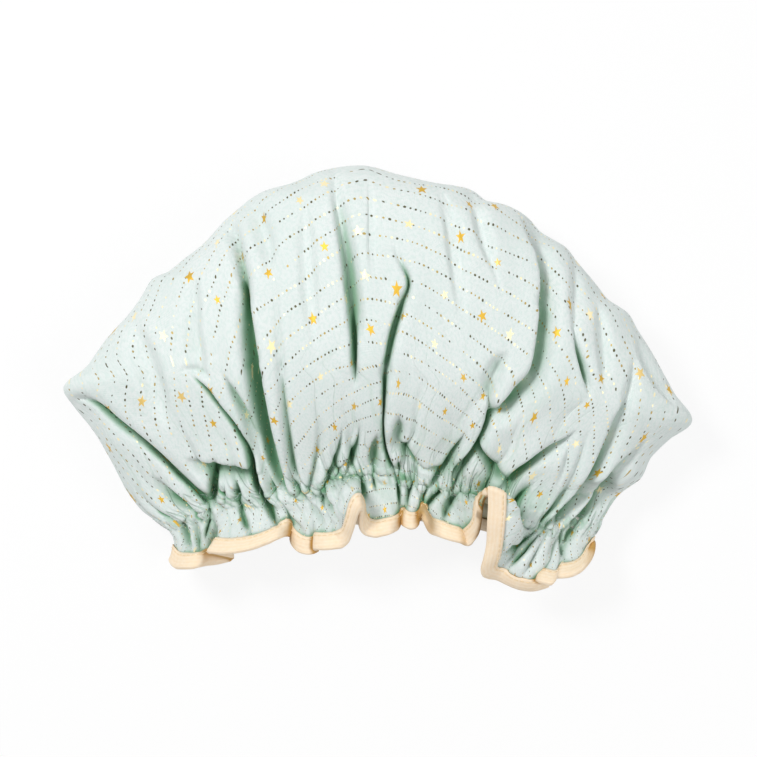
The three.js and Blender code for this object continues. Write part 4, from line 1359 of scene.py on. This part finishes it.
upper_row, lower_row = [
    stitch_row(name, below_elastic(cotton_face, distance),
               below_elastic(sheet_normals, distance), node)
    for name, node, distance in (
        ("channel_thread_upper", "channel_stitch_upper", -CHANNEL_STITCH),
        ("channel_thread_lower", "channel_stitch_lower", CHANNEL_STITCH))]
inset = BINDING_INSET / BINDING_WIDTH * (BINDING_ROWS - 1)
inset_row = int(inset)
inset_step = outside[inset_row + 1] - outside[inset_row]
binding_row = stitch_row("binding_thread", outside[inset_row] + inset_step * (inset - inset_row),
                         leg_normals[inset_row], "binding_stitch")

# %% [markdown]
# A zigzag holds the lapped ends of the elastic together, under the middle of the lower run.

# %% The join of the elastic
ZIGZAG_LEGS = 14
ZIGZAG_RUN = (0.46, 0.54)
ZIGZAG_SWING = 0.35 * ELASTIC_WIDTH
join_shares = np.linspace(*ZIGZAG_RUN, ZIGZAG_LEGS)
join_columns = (UPPER_COLUMNS + LOWER_COLUMNS * join_shares).astype(int)
swing = np.where(np.arange(ZIGZAG_LEGS) % 2, ZIGZAG_SWING, -ZIGZAG_SWING)[:, None]
join_normals = strip_normal[join_columns]
join_points = strip_middle[join_columns] + strip_down[join_columns] * swing
join = stitch_row("elastic_join_thread", join_points + join_normals * ELASTIC_HALF, join_normals,
                  "elastic_join_stitch", closed=False)

# %% [markdown]
# Materials are node graphs, and node graphs are maths. This class wraps a socket, so that a
# mask can be written as an expression. A Math node works on numbers only, so colours go
# through Mix and directions through Vector Math.


# %% A socket that knows arithmetic
class Flow:
    """One output of a node graph."""

    def __init__(self, graph, socket):
        self.graph = graph
        self.socket = socket

    def math(self, operation, *others):
        inputs = dict(enumerate((self, *others)))
        return self.graph.node("ShaderNodeMath", {"operation": operation}, inputs)

    def __add__(self, other):
        return self.math("ADD", other)

    __radd__ = __add__

    def __sub__(self, other):
        return self.math("SUBTRACT", other)

    def __rsub__(self, other):
        return self.graph.node("ShaderNodeMath", {"operation": "SUBTRACT"}, {0: other, 1: self})

    def __mul__(self, other):
        return self.math("MULTIPLY", other)

    __rmul__ = __mul__

    def __truediv__(self, other):
        return self.math("DIVIDE", other)

    def __gt__(self, other):
        return self.math("GREATER_THAN", other)

    def between(self, low, high):
        """0 below low, 1 above high, smooth between."""
        return self.graph.node(
            "ShaderNodeMapRange", {"interpolation_type": "SMOOTHSTEP"},
            {"Value": self, "From Min": low, "From Max": high})

    def line(self, width):
        """1 on the thin lines where a noise is at its middle."""
        return 1 - (self - 0.5).math("ABSOLUTE").between(0.0, width)


# %% A node graph
class Graph:
    """The node graph of a material or of the world."""

    def __init__(self, owner, surface="Principled BSDF", end="Material Output"):
        owner.use_nodes = True
        self.owner = owner
        self.nodes = owner.node_tree.nodes
        self.links = owner.node_tree.links
        self.surface = self.nodes[surface]
        self.end = self.nodes[end].inputs["Surface"]

    def set_input(self, socket, value):
        if isinstance(value, Flow):
            self.links.new(value.socket, socket)
        else:
            socket.default_value = value

    def node(self, kind, settings=None, inputs=None, output=0):
        made = self.nodes.new(kind)
        for name, value in (settings or {}).items():
            setattr(made, name, value)
        for name, value in (inputs or {}).items():
            self.set_input(made.inputs[name], value)
        return Flow(self, made.outputs[output])

    def mix(self, share, first, second):
        """A colour between two colours."""
        return self.node("ShaderNodeMix", {"data_type": "RGBA"}, {0: share, 6: first, 7: second}, 2)

    def flat(self):
        """The two coordinates on the flat cut, in millimetres."""
        place = self.node("ShaderNodeUVMap", {"uv_map": "flat"})
        return [self.node("ShaderNodeSeparateXYZ", None, {0: place}, k) * 1000 for k in (0, 1)]

    def vector(self, x, y, z=0.0):
        return self.node("ShaderNodeCombineXYZ", None, {0: x, 1: y, 2: z})

    def random(self, x, y, draw):
        """A random number for each pair of whole numbers; each draw gives another one."""
        return self.node("ShaderNodeTexWhiteNoise", {"noise_dimensions": "4D"},
                         {"Vector": self.vector(x, y), "W": draw})

    def noise(self, x, y, scale=1.0, detail=2.0, z=0.0):
        return self.node("ShaderNodeTexNoise", {"noise_dimensions": "3D"},
                         {"Vector": self.vector(x, y, z), "Scale": scale, "Detail": detail})

    def wave(self, direction, x, y, scale, distortion=0.0, detail_scale=1.0):
        return self.node("ShaderNodeTexWave", {"bands_direction": direction},
                         {"Vector": self.vector(x, y), "Scale": scale, "Distortion": distortion,
                          "Detail": 1.0, "Detail Scale": detail_scale})

    def kept(self, name):
        """A number that the mesh keeps for each of its points."""
        return self.node("ShaderNodeAttribute", {"attribute_name": name}, None, "Fac")

    def ray(self, name):
        return self.node("ShaderNodeLightPath", None, None, name)

    def bump(self, height, distance, strength=1.0):
        return self.node("ShaderNodeBump", None,
                         {"Height": height, "Distance": distance, "Strength": strength})

    def finish(self, **values):
        """Sets the surface's sockets by name, with spaces written as _."""
        for name, value in values.items():
            self.set_input(self.surface.inputs[name.replace("_", " ")], value)
        return self.owner

    def cover(self, share, other):
        """Shows another shader over the surface, for a share of the rays."""
        own = Flow(self, self.surface.outputs[0])
        mixed = self.node("ShaderNodeMixShader", None, {0: share, 1: own, 2: other})
        self.links.new(mixed.socket, self.end)


def material_graph(name):
    return Graph(bpy.data.materials.new(name))


# %% [markdown]
# The cotton is mint with a foil print: rows of small dots and scattered five-pointed stars.
# Both are worked out on the flat cut. Whole numbers name the cell of a dot or a star, random
# numbers for each cell vary its place, size and colour, and a distance makes its outline. The
# dark olive and the pale gold of the foil are print tones that also paint its dark reflections
# and bright glints.


# %% Foil print: dots
DOT_ROW = 7.0
DOT_STEP = 2.0
ROW_SHIFT = 0.37
ROW_WANDER = 3.0
DOT_LEAST, DOT_RANGE = 0.27, 0.24
PRINT_EDGE = 0.08


def dot_mask(g, x, y):
    row_place = y / DOT_ROW
    row = row_place.math("FLOOR")
    wander = (g.noise(x * 0.02, row * 3.1) - 0.5) * ROW_WANDER
    cell_place = x / DOT_STEP + row * ROW_SHIFT
    cell = cell_place.math("FLOOR")
    chance = g.random(cell, row, 1.0)
    size = g.random(cell, row, 2.0) * DOT_RANGE + DOT_LEAST
    dx = (cell_place - cell - 0.5) * DOT_STEP
    dy = (row_place - row - 0.5) * DOT_ROW - wander
    distance = (dx * dx + dy * dy).math("SQRT")
    # The rows are broken into runs, with a dot missing here and there.
    run = g.noise(x * 0.035 + row * 7.7, row * 1.3, detail=1.0)
    shown = (chance * 0.35 + run) > 0.5
    mask = (1 - (distance - size).between(-PRINT_EDGE, PRINT_EDGE)) * shown
    return mask, g.random(cell, row, 3.0)


# %% Foil print: stars
STAR_CELL = 21.0
STAR_JITTER = 0.28
STAR_LEAST, STAR_RANGE = 1.75, 0.9
# How far in the notch between two arms lies, as a share of an arm.
STAR_NOTCH = 0.42
TENTH_TURN = math.pi / 5


def star_mask(g, x, y):
    column_place, row_place = x / STAR_CELL, y / STAR_CELL
    column, row = column_place.math("FLOOR"), row_place.math("FLOOR")
    jitter_x = g.random(column, row, 4.0) * (2 * STAR_JITTER) - STAR_JITTER
    jitter_y = g.random(column, row, 5.0) * (2 * STAR_JITTER) - STAR_JITTER
    size = g.random(column, row, 6.0) * STAR_RANGE + STAR_LEAST
    dx = (column_place - column - 0.5 - jitter_x) * STAR_CELL
    dy = (row_place - row - 0.5 - jitter_y) * STAR_CELL
    far = (dx * dx + dy * dy).math("SQRT")
    angle = dy.math("ARCTAN2", dx) + g.random(column, row, 7.0) * (2 * math.pi)
    wedge = (angle / (2 * TENTH_TURN)).math("FRACT") * (2 * TENTH_TURN) - TENTH_TURN
    wedge = wedge.math("ABSOLUTE")
    edge_x = STAR_NOTCH * math.sin(TENTH_TURN)
    edge_y = 1 - STAR_NOTCH * math.cos(TENTH_TURN)
    edge_length = math.hypot(edge_x, edge_y)
    edge_x, edge_y = edge_x / edge_length, edge_y / edge_length
    outside_star = (wedge.math("COSINE") * far * edge_x + wedge.math("SINE") * far * edge_y
                    - size * edge_x)
    mask = 1 - outside_star.between(-PRINT_EDGE, PRINT_EDGE)
    return mask, g.random(column, row, 8.0)


# %% Creases
def crease_masks(g):
    """Long fine creases that run to the elastic, and short ones where it crushes the cloth: masks
    for their bumps and for the shade painted into them.
    """
    number, below = g.kept("gather_number"), g.kept("below_elastic")
    away = below.math("ABSOLUTE")
    long_lines = g.noise(number * 0.45, below * 0.009, detail=1.0).line(0.025)
    long_lines = long_lines * (1 - away.between(30.0, 120.0))
    lines = g.noise(number * 1.3, below * 0.03, detail=1.0, z=4.0).line(0.03)
    lines = lines * ((1 - away.between(6.0, 34.0)) * (1 - below.between(1.0, 9.0)))
    crushed = g.noise(number * 2.6, below * 0.16, detail=1.0, z=9.0).line(0.05)
    crushed = crushed * (1 - away.between(2.0, 5.5)) * 0.5
    return long_lines * 0.6, (lines + crushed).math("MINIMUM", 1.0)


# %% The cotton
MINT, PALE_MINT = (0.72, 0.785, 0.765, 1), (0.765, 0.815, 0.80, 1)
SLUB_MINT = (0.62, 0.735, 0.70, 1)
# Painted shade: the creases are painted this darker green.
CREASE_PAINTED_SHADE = (0.31, 0.52, 0.38, 1)
# Painted shade: deep in the folds the cotton is painted this dark green.
PAINTED_SHADE_GREEN = (0.14, 0.37, 0.19, 1)
# The olive and the pale gold are print tones that also paint the foil's dark reflections and bright
# glints.
GOLD, DULL_GOLD, PALE_GOLD_PAINTED_GLINT = (0.64, 0.4, 0.04, 1), (0.4, 0.3, 0.09, 1), (0.9, 0.8, 0.5, 1)
OLIVE_PAINTED_DARK_REFLECTION = (0.09, 0.085, 0.035, 1)
COTTON_ROUGH = 0.88
FOIL_SMOOTHING = 0.36
FOIL_METAL = 0.55


def printed_cotton():
    g = material_graph("printed_cotton")
    x, y = g.flat()
    threads = [g.wave(way, x, y, 0.55, distortion=1.2, detail_scale=0.5) for way in "XY"]
    slub = g.noise(x, y, 0.75, 5.0)
    creases, fine_creases = crease_masks(g)
    mint = g.mix(g.noise(x, y, 0.03, 3.0).between(0.3, 0.7), MINT, PALE_MINT)
    mint = g.mix(slub.between(0.4, 0.66) * 0.6, mint, SLUB_MINT)
    # Painted shade: the crease lines are painted a darker green.
    mint = g.mix(creases * 0.3 + fine_creases * 0.45, mint, CREASE_PAINTED_SHADE)
    # Painted shade: where a point sees little sky, the cotton is painted dark green.
    mint = g.mix(g.kept("painted_fold_shade").between(0.24, 0.92), mint, PAINTED_SHADE_GREEN)
    dots, dot_kind = dot_mask(g, x, y)
    stars, star_kind = star_mask(g, x, y)
    # Dots are olive, dull gold or pale gold, and stars gold or pale gold. The olive and pale tones
    # also paint the foil's dark reflections and bright glints.
    dot_colour = g.mix(dot_kind > 0.4, OLIVE_PAINTED_DARK_REFLECTION, g.mix(dot_kind > 0.72, DULL_GOLD, PALE_GOLD_PAINTED_GLINT))
    star_colour = g.mix(star_kind.between(0.55, 0.8), GOLD, PALE_GOLD_PAINTED_GLINT)
    colour = g.mix(stars, g.mix(dots, mint, dot_colour), star_colour)
    foil = (dots + stars).math("MINIMUM", 1.0)
    weave = (threads[0] * 0.5 + threads[1] * 0.5) * 0.6 + slub * 0.4
    relief = weave * (1 - foil * 0.6) * 0.18 - creases * 0.35 - fine_creases * 0.6
    return g.finish(Base_Color=colour, Roughness=COTTON_ROUGH - foil * FOIL_SMOOTHING,
                    Metallic=foil * FOIL_METAL, Normal=g.bump(relief, 0.0009, 0.9),
                    Sheen_Weight=0.15, Sheen_Roughness=0.5)


# %% The other finishes
FILM_COLOURS = (0.80, 0.82, 0.74, 1), (0.88, 0.89, 0.83, 1)
# Painted shade: deep in the folds the film is painted this olive.
FILM_PAINTED_SHADE = (0.5, 0.48, 0.27, 1)
CREAM_COLOURS = (0.925, 0.75, 0.545, 1), (0.945, 0.8, 0.62, 1)
CREAM_RIB = (0.86, 0.64, 0.38, 1)
# Painted shade: deep in the folds the tape is painted this golden brown.
CREAM_PAINTED_SHADE = (0.55, 0.31, 0.08, 1)
ELASTIC_COLOURS = (0.8, 0.78, 0.72, 1), (0.9, 0.88, 0.84, 1)
MINT_THREAD = (0.5, 0.64, 0.59, 1), (0.66, 0.76, 0.73, 1)
CREAM_THREAD = (0.8, 0.6, 0.34, 1), (0.93, 0.76, 0.5, 1)


def film_finish():
    g = material_graph("lining_film")
    crinkle = g.noise(*g.flat(), 0.25, 4.0)
    milky = g.mix(crinkle, *FILM_COLOURS)
    # Painted shade: where the film sees little sky, it is painted olive.
    milky = g.mix(g.kept("painted_fold_shade").between(0.2, 0.65), milky, FILM_PAINTED_SHADE)
    return g.finish(Base_Color=milky, Roughness=crinkle * 0.2 + 0.32,
                    Normal=g.bump(crinkle, 0.0006, 0.5))


def tape_finish():
    g = material_graph("binding_tape")
    x, y = g.flat()
    ribs = g.wave("Y", x, y, 0.45, distortion=1.0)
    slub = g.noise(x * 0.4, y, 1.2, 4.0)
    cream = g.mix(slub.between(0.3, 0.7), *CREAM_COLOURS)
    cream = g.mix((1 - ribs) * 0.25, cream, CREAM_RIB)
    # Painted shade: where the tape sees little sky, it is painted golden.
    cream = g.mix(g.kept("painted_fold_shade").between(0.2, 0.65), cream, CREAM_PAINTED_SHADE)
    return g.finish(Base_Color=cream, Roughness=0.82, Sheen_Weight=0.15,
                    Normal=g.bump(ribs * 0.6 + slub * 0.6, 0.00015, 0.7))


def elastic_finish():
    g = material_graph("elastic")
    ribs = g.wave("Y", *g.flat(), 0.3)
    return g.finish(Base_Color=g.mix(ribs, *ELASTIC_COLOURS), Roughness=0.85,
                    Normal=g.bump(ribs, 0.0003))


def thread_finish(name, colours):
    g = material_graph(name)
    place = g.node("ShaderNodeTexCoord", None, None, "Object")
    fibres = g.node("ShaderNodeTexNoise", None, {"Vector": place, "Scale": 4000.0, "Detail": 2.0})
    return g.finish(Base_Color=g.mix(fibres, *colours), Roughness=0.6,
                    Normal=g.bump(fibres, 0.0001, 0.5))


# %% Which piece has which finish
for finish, pieces in (
    (printed_cotton(), [cotton]),
    (film_finish(), [lining]),
    (tape_finish(), [binding]),
    (elastic_finish(), [elastic]),
    (thread_finish("mint_thread", MINT_THREAD), [upper_row, lower_row, join]),
    (thread_finish("cream_thread", CREAM_THREAD), [binding_row]),
):
    for piece in pieces:
        piece.data.materials.append(finish)
    print([piece.name for piece in pieces], len(finish.node_tree.nodes), "nodes")

# %% [markdown]
# The stage is a white floor. Seen by the camera it is a little brighter than its paint, so it
# fades into the white background and still keeps the soft shadow of the cap.

# %% Floor and world
WHITE = (1, 1, 1, 1)
FLOOR_HALF = 1.5
FLOOR_PAINT = (0.9, 0.9, 0.9, 1)
FLOOR_ROUGH = 0.9
FLOOR_GLOW = 0.87
SKY_STRENGTH = 0.38
corners = [(x * FLOOR_HALF, y * FLOOR_HALF, 0) for x, y in ((-1, -1), (1, -1), (1, 1), (-1, 1))]
floor_mesh = bpy.data.meshes.new("floor")
floor_mesh.from_pydata(corners, [], [(0, 1, 2, 3)])
floor = bpy.data.objects.new("floor", floor_mesh)
bpy.context.collection.objects.link(floor)
paint = material_graph("floor")
floor_mesh.materials.append(paint.finish(Base_Color=FLOOR_PAINT, Roughness=FLOOR_ROUGH))
glow = paint.node("ShaderNodeEmission", None, {"Color": WHITE, "Strength": 1.0})
paint.cover(paint.ray("Is Camera Ray") * FLOOR_GLOW, glow)

# The world lights the cap softly. To the camera and in reflections it is plain white.
sky = Graph(bpy.data.worlds.new("studio"), "Background", "World Output")
bpy.context.scene.world = sky.finish(Color=WHITE, Strength=SKY_STRENGTH)
shows_white = sky.ray("Is Camera Ray")
for name in ("Is Glossy Ray", "Is Transmission Ray"):
    shows_white = shows_white.math("MAXIMUM", sky.ray(name))
plain = sky.node("ShaderNodeBackground", None, {"Color": WHITE, "Strength": 1.0})
sky.cover(shows_white, plain)
print("floor", 2 * FLOOR_HALF, "m wide, sky", SKY_STRENGTH)


# %% Lamps
LAMP_AIM = (0, 0, 0.03)


def lamp(name, place, size, power):
    data = bpy.data.lights.new(name, "AREA")
    data.shape = "DISK"
    data.size = size
    data.energy = power
    made = bpy.data.objects.new(name, data)
    made.location = place
    direction = Vector(LAMP_AIM) - Vector(place)
    made.rotation_euler = direction.to_track_quat("-Z", "Y").to_euler()
    bpy.context.collection.objects.link(made)


lamp("key", (-0.6, 0.45, 1.1), size=0.4, power=10.4)
lamp("fill", (0.75, -0.2, 1.0), size=0.9, power=5.0)
print("lamps", len(bpy.data.lights))
